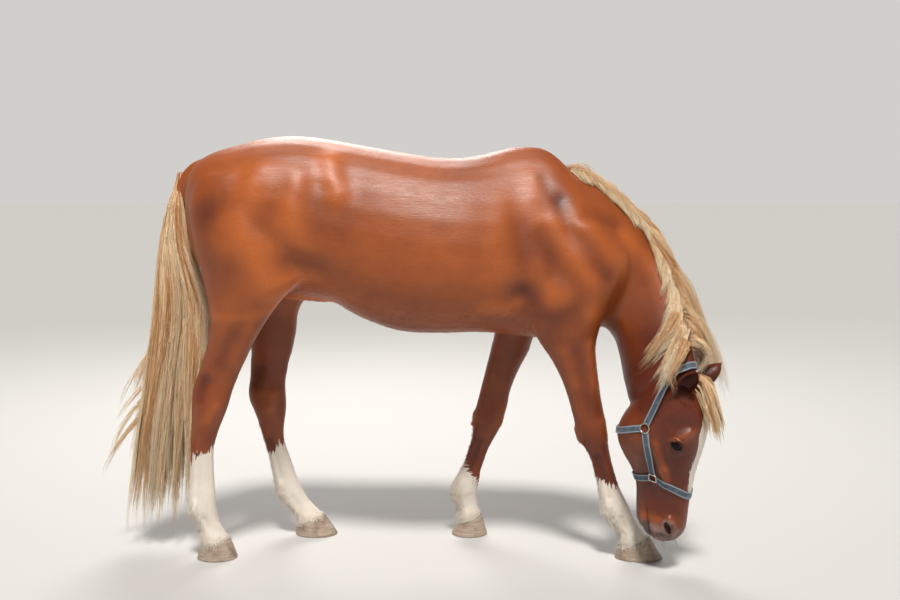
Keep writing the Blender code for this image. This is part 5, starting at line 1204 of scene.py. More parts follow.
def coat_colour_group(streaks):
    """Colour, roughness and fine relief of the short coat with its markings and painted shade and
    highlight.
    """
    outputs = {"Color": "Color", "Roughness": "Float", "Height": "Float"}
    group, given, out = new_group("coat_colour", {"Tone": "Float"}, outputs)
    place = here(group)
    streak = use_group(group, streaks, {"Steep": field_node(group, "steep")})
    relief, white, muzzle, dark = (field_node(group, k) for k in ("relief", "white", "muzzle", "dark"))
    patches = noise(group, place, 3.2, 3.0)
    mottle = noise(group, place, 17.0, 3.0)
    # Painted shade in the grooves, over the neck and head and low down, and painted highlight on the
    # ridges, from the relief field.
    light = math_node(group, "MULTIPLY_ADD", relief, 0.4, 0.33)
    light = plus(group, light, times(group, patches, 0.45), times(group, mottle, 0.16), given["Tone"])
    chestnut = blend(group, stretch(group, light, 0.3, 0.95), DEEP_RED, GOLDEN)
    hairs = stretch(group, streak["Fine"], 0.3, 0.7)
    chestnut = blend(group, times(group, hairs, 0.3), chestnut, SHADED_HAIR)
    white_hair = blend(group, mottle, WARM_WHITE, CREAM_WHITE)
    white_hair = blend(group, times(group, hairs, 0.25), white_hair, GREY_HAIR)
    ragged = times(group, minus(group, streak["Coarse"], 0.5), 0.1)
    wave = times(group, minus(group, mottle, 0.5), 0.05)
    edge = plus(group, white, plus(group, ragged, wave))
    colour = blend(group, stretch(group, edge, -0.004, 0.005, True), chestnut, white_hair)
    lips = blend(group, stretch(group, mottle, 0.4, 0.62), DARK_LIP, PALE_LIP)
    bare = stretch(group, plus(group, muzzle, times(group, ragged, 4.0)), 0.25, 0.8, True)
    colour = blend(group, times(group, bare, 0.88), colour, lips)
    # Painted shade in the ear cups, nostrils, round the eyes and along the mouth; on lashes and whiskers
    # the same colour is their own dark.
    colour = blend(group, times(group, dark, 0.85), colour, HOLLOW_SHADE_AND_LASH_DARK)
    rough = math_node(group, "MULTIPLY_ADD", streak["Coarse"], 0.2, 0.33)
    rough = plus(group, rough, times(group, bare, 0.12))
    height = plus(group, streak["Fine"], times(group, streak["Coarse"], 0.6))
    fill(group, out, {"Color": colour, "Roughness": rough, "Height": height})
    return group


def coat_material(name, colours, tone, relief, shine):
    material, tree, shader = new_material(name)
    coat = use_group(tree, colours, {"Tone": tone})
    fill(tree, shader, {"Sheen Weight": 0.03, "Sheen Roughness": 0.45, "Sheen Tint": (1.0, 0.8, 0.7, 1),
                        "Specular IOR Level": shine,
                        "Base Color": coat["Color"], "Roughness": coat["Roughness"],
                        "Normal": bump(tree, relief, 0.002, coat["Height"])})
    return material


streaks = streak_group()
coat_colours = coat_colour_group(streaks)
coat = coat_material("short_coat", coat_colours, 0.0, 0.3, 0.5)
skin.data.materials.clear()
skin.data.materials.append(coat)
skin.data.polygons.foreach_set("material_index", np.zeros(len(skin.data.polygons), dtype=np.int32))
shade_smooth(skin.data)

# %% [markdown]
# A horse's eye is a dark, wet ball about 43 mm across, with a brown iris and a level, slot-like
# pupil. The front bulges a little where the cornea is. The colours follow the direction in which
# each point faces, kept as a map called gaze.

# %% Eyes
def eye_material():
    material, tree, shader = new_material("wet_eye")
    gaze = add_node(tree, "UVMap", {}, uv_map="gaze")[0]
    flat = add_node(tree, "Mapping", {"Vector": gaze, "Scale": (1.0, 2.1, 1.0)})[0]
    pupil = add_node(tree, "VectorMath", {0: flat}, operation="LENGTH")["Value"]
    around = add_node(tree, "VectorMath", {0: gaze}, operation="LENGTH")["Value"]
    fibres = noise(tree, gaze, 14.0, 4.0)
    iris = blend(tree, fibres, (0.008, 0.003, 0.002, 1), (0.03, 0.011, 0.005, 1))
    colour = blend(tree, stretch(tree, pupil, 0.4, 0.52, True), (0.002, 0.002, 0.003, 1), iris)
    colour = blend(tree, stretch(tree, around, 0.66, 0.84, True), colour, (0.03, 0.02, 0.016, 1))
    fill(tree, shader, {"Roughness": 0.06, "Specular IOR Level": 0.16, "Coat Weight": 0.08,
                        "Coat Roughness": 0.02, "Base Color": colour})
    return material


def make_eye(side, label, material):
    centre, outward, rearward, upward = eye_frame(side)
    eye = ball("eyeball_" + label, centre, EYE_RADIUS - 0.0003, segments=48)
    places = vertex_places(eye.data) - np.array(centre)
    ahead = places @ np.array(outward) / EYE_RADIUS
    cornea = 1 + 0.055 * capped((ahead - 0.72) / 0.28) ** 0.8
    set_places(eye.data, places * cornea[:, None] + np.array(centre))
    across = np.stack([places @ np.array(rearward), places @ np.array(upward)], axis=1)
    keep_map(eye.data, "gaze", across / EYE_RADIUS)
    eye.data.materials.append(material)
    shade_smooth(eye.data)
    return eye


wet_eye = eye_material()
eyes = {label: make_eye(side, label, wet_eye) for side, label in ((RIGHT, "right"), (LEFT, "left"))}
print("eyes made:", sorted(eyes))

# %% [markdown]
# A hoof grows down from the coronet like a fingernail, and each change of feed or weather leaves a
# faint ring. The wall is lofted with rings along the way, and its horn is streaked from top to
# bottom.

# %% Hooves
def hoof_outline(heel, toe, centre_y, half_width, count):
    """The hoof seen from above: round at the toe, narrower and flatter at the heel."""
    points = []
    length = toe - heel
    for k in range(count):
        angle = 2 * math.pi * k / count
        ahead, aside = math.cos(angle), math.sin(angle)
        squareness = 0.8 if ahead < 0 else 0.95
        reach = 0.54 if ahead > 0 else 0.46
        x = heel + length * (0.46 + reach * math.copysign(abs(ahead) ** squareness, ahead))
        width = half_width * (1.0 - 0.16 * max(0.0, -ahead))
        points.append((x, centre_y + width * math.copysign(abs(aside) ** 0.9, aside)))
    return points


def hoof_levels(name):
    ground_heel, ground_toe, top_heel, top_toe = HOOVES[name]
    centre = side_of(name) * HOOF_CENTRE
    shares = np.concatenate([[0.0, 0.012, 0.04], np.linspace(0.08, 0.93, 22), [0.96, 0.985, 1.0]])
    levels = []
    for share in shares:
        heel = ground_heel + (top_heel - ground_heel) * share
        toe = ground_toe + (top_toe - ground_toe) * share
        ripple = 0.0075 * math.sin(share * 42 + 1.3 * math.sin(share * 11))
        rounded = min(1.0, 0.975 + share * 1.6) - (0.05 * max(0, share - 0.94) / 0.06)
        wide = HOOF_HALF_WIDTH + (CORONET_HALF_WIDTH - HOOF_HALF_WIDTH) * share
        half = wide * (rounded + ripple * (share > 0.03))
        reach = (toe - heel) * 0.5 * (ripple * (share > 0.03) + rounded - 1)
        ring = []
        for x, y in hoof_outline(heel - reach, toe + reach, centre, half, 64):
            along = (x - heel) / (toe - heel)
            ring.append((x, y, share * (CORONET_HEEL + (CORONET_TOE - CORONET_HEEL) * along)))
        levels.append(ring)
    return levels


def horn_material():
    material, tree, shader = new_material("ringed_horn")
    place = here(tree)
    bands = noise(tree, place, 260.0, 2.0, size=(0.06, 0.06, 1))
    grain = noise(tree, place, 300.0, 3.0, size=(1, 1, 0.06))
    stain = noise(tree, place, 22.0, 3.0)
    dark, pale = (0.3, 0.225, 0.165, 1), (0.52, 0.43, 0.34, 1)
    colour = blend(tree, stretch(tree, bands, 0.3, 0.7), dark, pale)
    colour = blend(tree, times(tree, grain, 0.5), colour, (0.22, 0.16, 0.12, 1))
    colour = blend(tree, stretch(tree, stain, 0.5, 0.75), colour, (0.16, 0.115, 0.08, 1))
    height = plus(tree, bands, times(tree, grain, 0.7))
    fill(tree, shader, {"Specular IOR Level": 0.4, "Base Color": colour,
                        "Roughness": stretch(tree, grain, -0.6, 1.6),
                        "Normal": bump(tree, 0.5, 0.0015, height)})
    return material


horn = horn_material()
hooves = {}
for name in HOOVES:
    hooves[name] = loft(name + "_ringed_hoof", hoof_levels(name), horse)
    hooves[name].data.materials.append(horn)
    for polygon in hooves[name].data.polygons:
        polygon.use_smooth = abs(polygon.normal.z) < 0.9
print("hooves made:", len(hooves))

# %% [markdown]
# The halter is blue-grey webbing, 25 mm wide, that runs between metal rings. A strap's path is
# pulled taut like a tape and lifted until it clears the skin. Weave, stitching and pale edges come
# from the material, which reads a map of the strap's length and width.

# %% Paths of the straps
STRAP_WIDTH, STRAP_THICKNESS, STRAP_LIFT = 0.025, 0.003, 0.0016
STRAP_STEP = 0.004         # between two cross-sections of a strap
ROUND_RING = (0.165, -0.172, 0.101)
SQUARE_RING = (0.338, -0.122, 0.064)
RING_RADIUS, RING_WIRE = 0.0165, 0.003
SQUARE_RADIUS, SQUARE_WIRE = 0.02, 0.0028
CROWN_STRAP = [ROUND_RING, (0.138, -0.167, 0.098), (0.086, -0.154, 0.092), (0.03, -0.142, 0.086),
               (-0.018, -0.132, 0.072), (-0.046, -0.12, 0.048), (-0.062, -0.102, 0.022),
               (-0.066, -0.094, 0.0)]
THROAT_STRAP = [ROUND_RING, (0.187, -0.228, 0.094), (0.212, -0.275, 0.066), (0.222, -0.305, 0.03),
                (0.225, -0.312, 0.0)]
CHEEK_STRAP = [ROUND_RING, (0.205, -0.158, 0.102), (0.243, -0.144, 0.1), (0.3, -0.13, 0.082),
               SQUARE_RING]
NOSE_STRAP = [SQUARE_RING, (0.348, -0.08, 0.064), (0.358, -0.04, 0.057), (0.374, -0.008, 0.032),
              (0.384, 0.002, 0.0)]
CHIN_STRAP = [SQUARE_RING, (0.35, -0.15, 0.06), (0.362, -0.185, 0.044), (0.368, -0.212, 0.022),
              (0.37, -0.22, 0.0)]
EAR_CLEARANCE = 0.051                # from an ear's axis to the middle of the crown strap
EAR_ROOTS = {RIGHT: 0.06, LEFT: 0.06}   # length of each ear that the strap keeps clear of


def across_head(points):
    """A strap's places from the right ring round to the left one."""
    return on_head(points, RIGHT) + on_head(points, LEFT)[:-1][::-1]


def fine_path(points, step):
    """Places at an even step along a smooth line through the points."""
    dense = spread([tuple(p) for p in points], 12)
    lengths = np.concatenate([[0], np.cumsum(norms(np.diff(dense, axis=0)))])
    count = max(2, int(round(lengths[-1] / step)))
    wanted = np.linspace(0, lengths[-1], count + 1)
    dense = np.array(dense)
    return [Vector([np.interp(w, lengths, dense[:, k]) for k in range(3)]) for w in wanted]


def height_over(tree, point):
    """How far the point is outside the surface, with the surface's normal there."""
    place, normal, _, _ = tree.find_nearest(point)
    away = point - place
    inside = away.dot(normal) < 0
    return (-away.length if inside else away.length), place, normal


def off_the_ears(point, room, reach):
    """The point moved off the ears, so that straps and mane pass behind them."""
    for side in SIDES:
        root, growth, _, _ = ear_frame(side)
        along = max(-0.03, min(reach[side], (point - root).dot(growth)))
        away = point - (root + growth * along)
        if away.length < room:
            point = point + away.normalized() * (room - away.length)
    return point


def pulled_taut(tree, path, lift, rounds=10):
    """The path tightened like a strap, but never nearer to the surface than the lift."""
    path = [p.copy() for p in path]
    for _ in range(rounds):
        for k in range(1, len(path) - 1):
            middle = path[k].lerp((path[k - 1] + path[k + 1]) / 2, 0.5)
            path[k] = off_the_ears(middle, EAR_CLEARANCE, EAR_ROOTS)
            height, place, normal = height_over(tree, path[k])
            if height < lift:
                path[k] = place + normal * lift
    return path


def trimmed(path, start_gap, end_gap):
    """The path without its ends inside the rings."""
    start, end = path[0], path[-1]
    inner = [p for p in path if (p - start).length > start_gap * 1.25 and (p - end).length > end_gap * 1.25]
    first = start + (inner[0] - start).normalized() * start_gap
    last = end + (inner[-1] - end).normalized() * end_gap
    return [first] + inner + [last]

# %% Woven straps
# Cross-section of a strap: share of its width, share of its thickness
STRAP_SECTION = [
    (-0.5, 0.25), (-0.47, 0), (-0.3, 0), (0, 0), (0.3, 0), (0.47, 0), (0.5, 0.25), (0.5, 0.75), (0.47, 1),
    (0.4, 1.1), (0.34, 0.98), (0, 0.9), (-0.34, 0.98), (-0.4, 1.1), (-0.47, 1), (-0.5, 0.75),
]


def strap_frames(tree, points, gaps, lift):
    """Places along a strap with its across and up directions, clear of the skin."""
    path = trimmed(pulled_taut(tree, fine_path(points, STRAP_STEP * 2.5), lift), *gaps)
    path = fine_path(path, STRAP_STEP)
    normals = [height_over(tree, p)[2] for p in path]
    for _ in range(12):
        normals = [(normals[max(k - 1, 0)] + n + normals[min(k + 1, len(path) - 1)]).normalized()
                   for k, n in enumerate(normals)]
    frames = []
    for k, point in enumerate(path):
        onward = (path[min(k + 1, len(path) - 1)] - path[max(k - 1, 0)]).normalized()
        up = squared(normals[k], onward)
        across = onward.cross(up).normalized()
        spots = [across * STRAP_WIDTH * share for share in (-0.5, -0.25, 0, 0.25, 0.5)]
        raised = max(0.0, lift - min(height_over(tree, point + spot)[0] for spot in spots))
        frames.append([point, across, up, raised])
    for _ in range(6):
        for k in range(1, len(frames) - 1):
            around = (frames[k - 1][3] + frames[k + 1][3]) / 2
            frames[k][3] = max(frames[k][3], around * 0.98)
    return [(point + up * raised, across, up) for point, across, up, raised in frames]


def make_strap(name, tree, points, gaps, lift, material):
    rings, spots = [], []
    for k, (base, across, up) in enumerate(strap_frames(tree, points, gaps, lift)):
        rings.append([base + across * STRAP_WIDTH * a + up * STRAP_THICKNESS * b for a, b in STRAP_SECTION])
        spots += [(k * STRAP_STEP, a + 0.5) for a, b in STRAP_SECTION]
    spots += [(0, 0.5), (len(rings) * STRAP_STEP, 0.5)]
    strap = loft(name, rings, horse)
    strap.data.materials.append(material)
    keep_map(strap.data, "weave", np.array(spots))
    shade_smooth(strap.data)
    return strap


def webbing_material():
    material, tree, shader = new_material("woven_webbing")
    place = add_node(tree, "UVMap", {}, uv_map="weave")[0]
    along, across = add_node(tree, "SeparateXYZ", {0: place})[:2]
    ribs = math_node(tree, "SINE", times(tree, along, 2600.0))
    cords = math_node(tree, "SINE", times(tree, across, 62.0))
    checks = times(tree, ribs, cords)
    from_edge = minus(tree, 0.5, math_node(tree, "ABSOLUTE", minus(tree, across, 0.5)))
    hem = minus(tree, 1.0, stretch(tree, from_edge, 0.1, 0.15, True))
    from_row = math_node(tree, "ABSOLUTE", minus(tree, from_edge, 0.155))
    row = minus(tree, 1.0, stretch(tree, from_row, 0.01, 0.028, True))
    gaps = stretch(tree, math_node(tree, "SINE", times(tree, along, 1150.0)), -0.75, -0.25)
    stitches = times(tree, row, gaps)
    wear = noise(tree, here(tree), 60.0, 4.0)
    weave = stretch(tree, checks, -0.8, 0.8)
    colour = blend(tree, weave, (0.03, 0.048, 0.075, 1), (0.085, 0.125, 0.175, 1))
    colour = blend(tree, hem, colour, (0.22, 0.27, 0.31, 1))
    colour = blend(tree, stitches, colour, (0.52, 0.56, 0.58, 1))
    faded = times(tree, stretch(tree, wear, 0.5, 0.8), 0.3)
    colour = blend(tree, faded, colour, (0.34, 0.37, 0.38, 1))
    height = plus(tree, times(tree, checks, 0.5), times(tree, stitches, 0.9))
    fill(tree, shader, {"Sheen Weight": 0.25, "Sheen Roughness": 0.5, "Specular IOR Level": 0.3,
                        "Base Color": colour, "Roughness": stretch(tree, wear, -1.6, 1.1),
                        "Normal": bump(tree, 0.6, 0.0006, height)})
    return material


webbing = webbing_material()
square_reach = SQUARE_RADIUS * math.sqrt(0.5)
round_pair, square_pair = (RING_RADIUS, RING_RADIUS), (square_reach, square_reach)
STRAPS = {
    "halter_crown_strap": (across_head(CROWN_STRAP), round_pair, 2.2),
    "halter_throat_strap": (across_head(THROAT_STRAP), round_pair, 1.0),
    "halter_noseband": (across_head(NOSE_STRAP), square_pair, 1.0),
    "halter_chin_strap": (across_head(CHIN_STRAP), square_pair, 1.0),
    "halter_cheek_right": (on_head(CHEEK_STRAP, RIGHT), (RING_RADIUS, square_reach), 1.0),
    "halter_cheek_left": (on_head(CHEEK_STRAP, LEFT), (RING_RADIUS, square_reach), 1.0),
}
straps = {}
for name, (points, gaps, lift) in STRAPS.items():
    straps[name] = make_strap(name + "_woven", skin_tree, points, gaps, STRAP_LIFT * lift, webbing)
print("straps made:", len(straps))

# %% [markdown]
# The rings are plated metal, dull from wear, with fine scratches. They lie flat on the cheek, and
# the straps end at them.

# %% Rings
def metal_material():
    material, tree, shader = new_material("worn_metal")
    place = here(tree)
    scratches = noise(tree, place, 900.0, 3.0, size=(0.25, 1, 1))
    tarnish = noise(tree, place, 120.0, 4.0)
    bright, dull = (0.66, 0.63, 0.57, 1), (0.34, 0.3, 0.24, 1)
    rough = plus(tree, times(tree, scratches, 0.25), times(tree, tarnish, 0.28))
    fill(tree, shader, {"Metallic": 1.0, "Roughness": rough, "Normal": bump(tree, 0.15, 0.0003, scratches),
                        "Base Color": blend(tree, stretch(tree, tarnish, 0.42, 0.68), bright, dull)})
    return material


EIGHTH_TURN = 0.785
RING_STEPS, WIRE_STEPS = 64, 14    # sections round a ring, and points round its wire


def ring_frame(tree, place, radius, wire):
    """Centre and turn of a ring that lies flat over the skin."""
    _, surface, normal = height_over(tree, place)
    turn = turned(squared(head_axes()[0], normal), normal)
    centre = surface + normal * (STRAP_LIFT + wire)
    angles = [k * EIGHTH_TURN for k in range(8)]
    circle = [turn @ Vector((math.cos(a) * radius, math.sin(a) * radius, 0)) for a in angles]
    for _ in range(3):
        lowest = min(height_over(tree, centre + spot)[0] for spot in circle)
        centre = centre + normal * max(0.0, STRAP_LIFT + wire - lowest)
    return centre, turn


def ring_path(kind, radius):
    """The middle line of a round ring, or of a square one with rounded corners."""
    path = []
    for k in range(RING_STEPS):
        angle = 2 * math.pi * k / RING_STEPS
        x, y = math.cos(angle), math.sin(angle)
        if kind == "square":
            scale = math.sqrt(0.5) / (abs(x) ** 7 + abs(y) ** 7) ** (1 / 7)
            x, y = x * scale, y * scale
        path.append(Vector((x * radius, y * radius, 0)))
    return path


def make_ring(name, kind, centre, turn, radius, wire, material):
    shape = bmesh.new()
    path = ring_path(kind, radius)
    rows = []
    for k, point in enumerate(path):
        onward = (path[(k + 1) % RING_STEPS] - path[k - 1]).normalized()
        side = onward.cross(Vector((0, 0, 1)))
        row = []
        for n in range(WIRE_STEPS):
            angle = 2 * math.pi * n / WIRE_STEPS
            spot = point + side * wire * math.cos(angle) + Vector((0, 0, wire * math.sin(angle)))
            row.append(shape.verts.new(centre + turn.to_3x3() @ spot))
        rows.append(row)
    for row, after in zip(rows, rows[1:] + rows[:1]):
        for n in range(WIRE_STEPS):
            m = (n + 1) % WIRE_STEPS
            shape.faces.new((row[n], after[n], after[m], row[m]))
    bmesh.ops.recalc_face_normals(shape, faces=shape.faces)
    mesh = finished_mesh(name, shape)
    shade_smooth(mesh)
    return make_object(name, mesh, horse, material)


metal = metal_material()
rings = {}
for side, label in ((RIGHT, "right"), (LEFT, "left")):
    for kind, place, radius, wire in (("round", ROUND_RING, RING_RADIUS, RING_WIRE),
                                      ("square", SQUARE_RING, SQUARE_RADIUS, SQUARE_WIRE)):
        centre, turn = ring_frame(skin_tree, head_spot(place, side), radius, wire)
        name = "halter_" + kind + "_ring_" + label
        rings[name] = make_ring(name + "_metal", kind, centre, turn, radius, wire, metal)
print("rings made:", len(rings))

# %% [markdown]
# Real hair falls in locks: single hairs that cling together and thin out to a point. Each lock
# follows a guide, a path that leaves the skin and sinks under its own weight without entering the
# body. Round every guide lie a few dozen strands. Each is a closed three-sided needle, because
# curves are lost in the export.

# %% Strands round guides
DOWN = Vector((0, 0, -1))
draw = random.Random(11)
between = draw.uniform
dice = np.random.default_rng(11)
PATCH = 0.003              # side of a strand's patch on the unwrap
ROOT_DEPTH = 0.012         # of a lock's first point under the skin
EAR_ROOM = 0.044           # radius round an ear's axis that the hair stays out of
# Corner of each body part's place on the unwrap, and its size
UNWRAP = {"torso": (0.02, 0.52, 0.5), "neck": (0.54, 0.52, 0.44), "head": (0.02, 0.02, 0.44),
          "legs": (0.5, 0.02, 0.24), "tail": (0.76, 0.02, 0.22)}


def unwrap_spots(part, along, around):
    """Places on the unwrap for shares from 0 to 1 along and around a body part."""
    left, low, size = UNWRAP[part]
    return np.stack([left + size * capped(along), low + size * capped(around)], axis=1)


def unit(vectors):
    return vectors / np.maximum(np.linalg.norm(vectors, axis=-1, keepdims=True), 1e-9)


def needles(name, paths, widths, facing, spots, material, fields, flat=0.45, round_off=True):
    """Closed tapering three-sided strands: paths is strands x points x 3, widths strands x points."""
    count, points = paths.shape[:2]
    onward = unit(np.gradient(paths, axis=1))
    across = unit(np.cross(onward, facing))
    up = np.cross(across, onward)
    corners = []
    for angle in (math.pi / 2, math.pi * 7 / 6, math.pi * 11 / 6):
        reach = across * math.cos(angle) + up * (flat * math.sin(angle))
        corners.append(paths[:, :-1] + reach[:, :-1] * widths[:, :-1, None])
    body = np.stack(corners, axis=2).reshape(count, -1, 3)
    places = np.concatenate([body, paths[:, -1:]], axis=1)
    each = places.shape[1]
    faces, rings = [(0, 2, 1)], points - 1
    for k in range(rings - 1):
        for n in range(3):
            m = (n + 1) % 3
            faces.append((3 * k + n, 3 * k + m, 3 * k + 3 + m, 3 * k + 3 + n))
    for n in range(3):
        faces.append((3 * rings - 3 + n, 3 * rings - 3 + (n + 1) % 3, each - 1))
    mesh = bpy.data.meshes.new(name)
    starts = (np.arange(count) * each)[:, None]
    loops = np.concatenate([np.array(face) for face in faces])
    totals = np.array([len(face) for face in faces])
    all_loops = (starts + loops[None, :]).ravel()
    all_totals = np.tile(totals, count)
    mesh.vertices.add(count * each)
    mesh.vertices.foreach_set("co", places.astype(np.float32).ravel())
    mesh.loops.add(len(all_loops))
    mesh.loops.foreach_set("vertex_index", all_loops.astype(np.int32))
    mesh.polygons.add(len(all_totals))
    begin = np.concatenate([[0], np.cumsum(all_totals)[:-1]])
    mesh.polygons.foreach_set("loop_start", begin.astype(np.int32))
    mesh.polygons.foreach_set("use_smooth", np.full(len(all_totals), round_off))
    mesh.update(calc_edges=True)
    row = np.minimum(np.arange(each) // 3, rings) / rings
    column = (np.arange(each) % 3) / 2
    local = np.stack([column - 0.5, row - 0.5], axis=1) * PATCH
    keep_map(mesh, "OFBake", (spots[:, None, :] + local[None, :, :]).reshape(-1, 2))
    keep_values(mesh, "along", np.tile(row, count))
    for label, values in fields.items():
        keep_values(mesh, label, np.repeat(values, each))
    return make_object(name, mesh, horse, material)


def marched(tree, start, heading, length, steps, pull, drift, lift):
    """A path that leaves the skin at the start, falls under its weight and lies over the skin."""
    path, normals = [start - heading * ROOT_DEPTH], [height_over(tree, start)[2]]
    place, going = start, heading.normalized()
    for _ in range(steps):
        going = (going * (1 - pull) + (DOWN + drift) * pull).normalized()
        place = off_the_ears(place + going * (length / steps), EAR_ROOM, EAR_LENGTHS)
        height, surface, normal = height_over(tree, place)
        if height < lift:
            place = surface + normal * lift
        path.append(place)
        normals.append(normal)
    return path, normals


def strands_on(guides, each, points, width, gather=0.25, ruffle=0.0035, short=0.7):
    """Paths, widths, facings and guides of the strands round every guide."""
    bones = np.array([[tuple(p) for p in guide[0]] for guide in guides])
    faces = np.array([[tuple(n) for n in guide[1]] for guide in guides])
    half, deep = (np.array([guide[k] for guide in guides]) for k in (2, 3))
    owner = np.repeat(np.arange(len(guides)), each)
    count = len(owner)
    share = np.linspace(0, 1, points)
    reach = dice.uniform(short, 1.0, count)
    spot = share[None, :] * reach[:, None] * (bones.shape[1] - 1)
    low = np.minimum(spot.astype(int), bones.shape[1] - 2)
    part = (spot - low)[:, :, None]
    paths, facing = (k[owner[:, None], low] * (1 - part) + k[owner[:, None], low + 1] * part
                     for k in (bones, faces))
    across = unit(np.cross(unit(np.gradient(paths, axis=1)), facing))
    fan = 0.75 + 0.45 * np.sin(math.pi * np.minimum(share * 1.2, 1)) - (1 - gather) * share ** 1.6
    aside = dice.uniform(-1, 1, count)
    proud = dice.uniform(-0.6, 1, count)
    turns, start = dice.uniform(4, 9, count), dice.uniform(0, 6.3, count)
    sway = np.sin(share[None, :] * turns[:, None] + start[:, None]) * ruffle * share[None, :]
    sideways = (aside * half[owner])[:, None] * fan[None, :] + sway
    outward = (proud * deep[owner])[:, None] * np.minimum(share * 4, 1)[None, :] * fan[None, :] + 0.4 * sway
    paths = paths + across * sideways[:, :, None] + facing * outward[:, :, None]
    profile = np.minimum(0.55 + share * 1.8, 1) * (1.02 - share) ** 0.4
    widths = width * dice.uniform(0.65, 1.25, count)[:, None] * profile[None, :]
    return paths, widths, facing, owner

# %% [markdown]
# The mane grows from the crest. Most of it falls to the far side, short hair stands on the near
# side of the upper neck, and long wisps hang over the near side by the head. A tree of the skin and
# straps keeps the hair out of the body.

# %% Guides of the mane and forelock
MANE_GUIDES, FRINGE_GUIDES, FORELOCK_GUIDES = 108, 84, 52
CREST_END = 1.02           # where the mane ends between the ears, as a share of the neck's crest


def tree_of(things):
    places, faces = [], []
    for thing in things:
        start = len(places)
        places += [v.co.copy() for v in thing.data.vertices]
        faces += [[start + v for v in face.vertices] for face in thing.data.polygons]
    return BVHTree.FromPolygons(places, faces)


def crest_frame(share):
    """A place on the crest, and its directions outward, towards the head and left."""
    rows = spread(NECK, 8)
    where = 7 + share * (len(rows) - 24)
    low = int(where)
    row = rows[low] + (rows[low + 1] - rows[low]) * (where - low)
    onward = Vector(rows[low + 1][:3] - rows[low][:3]).normalized()
    outward = squared(Vector(row[:3] - row[3:6]), onward)
    left = onward.cross(outward).normalized()
    return Vector(row[:3]), outward, onward, left if left.y > 0 else -left


def mane_guides(tree):
    """Locks combed along the crest that roll over it and slide down its far side."""
    guides = []
    for k in range(MANE_GUIDES):
        share = min(CREST_END, max(0.0, CREST_END * (k + between(-1.5, 2.5)) / MANE_GUIDES))
        place, outward, onward, left = crest_frame(share)
        over = between(-0.6, 1.0)
        comb = between(0.6, 1.1) * min(1, max(0, 1 - share) / 0.35)
        heading = (outward * between(0.5, 0.8) + left * 0.45 * over + onward * comb).normalized()
        heading = (heading + (left - outward) * 0.3 * min(1, max(0.0, share - 0.55) / 0.3)).normalized()
        length = (0.13 + 0.26 * min(1, share * 1.5)) * between(0.7, 1.12) * (1 - 0.45 * (share > 0.82))
        start = place - outward * 0.004 + left * 0.014 * over
        drift = left * between(0.05, 0.55) - outward * between(-0.2, 0.3)
        drift += Vector((-0.5, 0.2, 0)) * max(0.0, share - 0.8) / 0.2
        path = marched(tree, start, heading, length, 9, 0.26, drift, between(0.003, 0.02))[0]
        guides.append((path, [left + outward * 0.6] * len(path), between(0.014, 0.024), 0.009, share))
    return guides


def fringe_guides(tree):
    """Short hair on the near side of the crest, and long strands by the head."""
    guides = []
    for k in range(FRINGE_GUIDES):
        share = CREST_END * (k + draw.random()) / FRINGE_GUIDES
        low = min(1, max(0.0, share - 0.45) / 0.35)
        place, outward, onward, left = crest_frame(share)
        comb = between(0.5, 1.1) * min(1, max(0, 1 - share) / 0.3)
        heading = (outward * (0.7 - 0.5 * low) - left * between(0.1, 0.5) + onward * comb).normalized()
        start = place - outward * 0.004 - left * between(0.0, 0.014)
        drift = -left * between(0.1, 0.35) - outward * between(0.0, 0.35 + 0.3 * low)
        back = min(1, max(0.0, share - 0.6) / 0.2) * min(1, max(0, 1 - share) / 0.12)
        drift += Vector((-0.5, 0, 0)) * back
        length = between(0.07, 0.12) + low * between(0.02, 0.22)
        path = marched(tree, start, heading, length, 8, 0.26, drift, between(0.003, 0.009))[0]
        guides.append((path, [outward - left * 0.8] * len(path), between(0.01, 0.02), 0.005, share))
    return guides


def forelock_guides(tree):
    """A thick lock from between the ears that hangs before the face."""
    down_face, out_of_face, to_left = head_axes()
    guides = []
    for k in range(FORELOCK_GUIDES):
        share = (k + draw.random()) / FORELOCK_GUIDES
        start = head_point(between(-0.045, 0.024), -0.042, -0.024 + 0.05 * share)
        heading = (out_of_face * 1.0 + down_face * 0.35 + to_left * (share - 0.3) * 0.6).normalized()
        drift = to_left * (0.02 + 0.26 * share) + out_of_face * between(0.05, 0.3)
        length = between(0.12, 0.225)
        path, normals = marched(tree, start, heading, length, 9, 0.34, drift, between(0.004, 0.016))
        guides.append((path, normals, between(0.009, 0.015), 0.006, share))
    return guides

# %% [markdown]
# The tail's hair starts round the dock, swells below it, and thins out towards the ground with
# some locks much shorter than others. A few wisps are blown backwards.

# %% Guides of the tail
TAIL_FLOW = [
    (1.4, -0.976, -0.99, 0.014), (1.33, -0.978, -1.026, 0.034), (1.25, -0.978, -1.05, 0.044),
    (1.15, -0.974, -1.062, 0.052), (1.07, -0.954, -1.07, 0.056), (1, -0.926, -1.078, 0.058),
    (0.88, -0.9, -1.092, 0.06), (0.74, -0.914, -1.11, 0.064), (0.56, -0.93, -1.14, 0.068),
    (0.36, -0.942, -1.18, 0.066), (0.2, -0.95, -1.206, 0.06), (0.06, -0.96, -1.228, 0.052),
]


TAIL_GUIDES, WISP_GUIDES, TAIL_POINTS = 116, 16, 12
GOLDEN_ANGLE = 2.39996     # spreads the locks evenly round the dock


def tail_place(z, ahead, aside):
    """A place in the tail: ahead 1 is its front outline, aside 1 its left one."""
    rows = np.array(TAIL_FLOW)[::-1]
    front, back, half = (np.interp(z, rows[:, 0], rows[:, k]) for k in (1, 2, 3))
    x = (front + back) / 2 + (front - back) / 2 * ahead
    return Vector((x, half * aside, z))


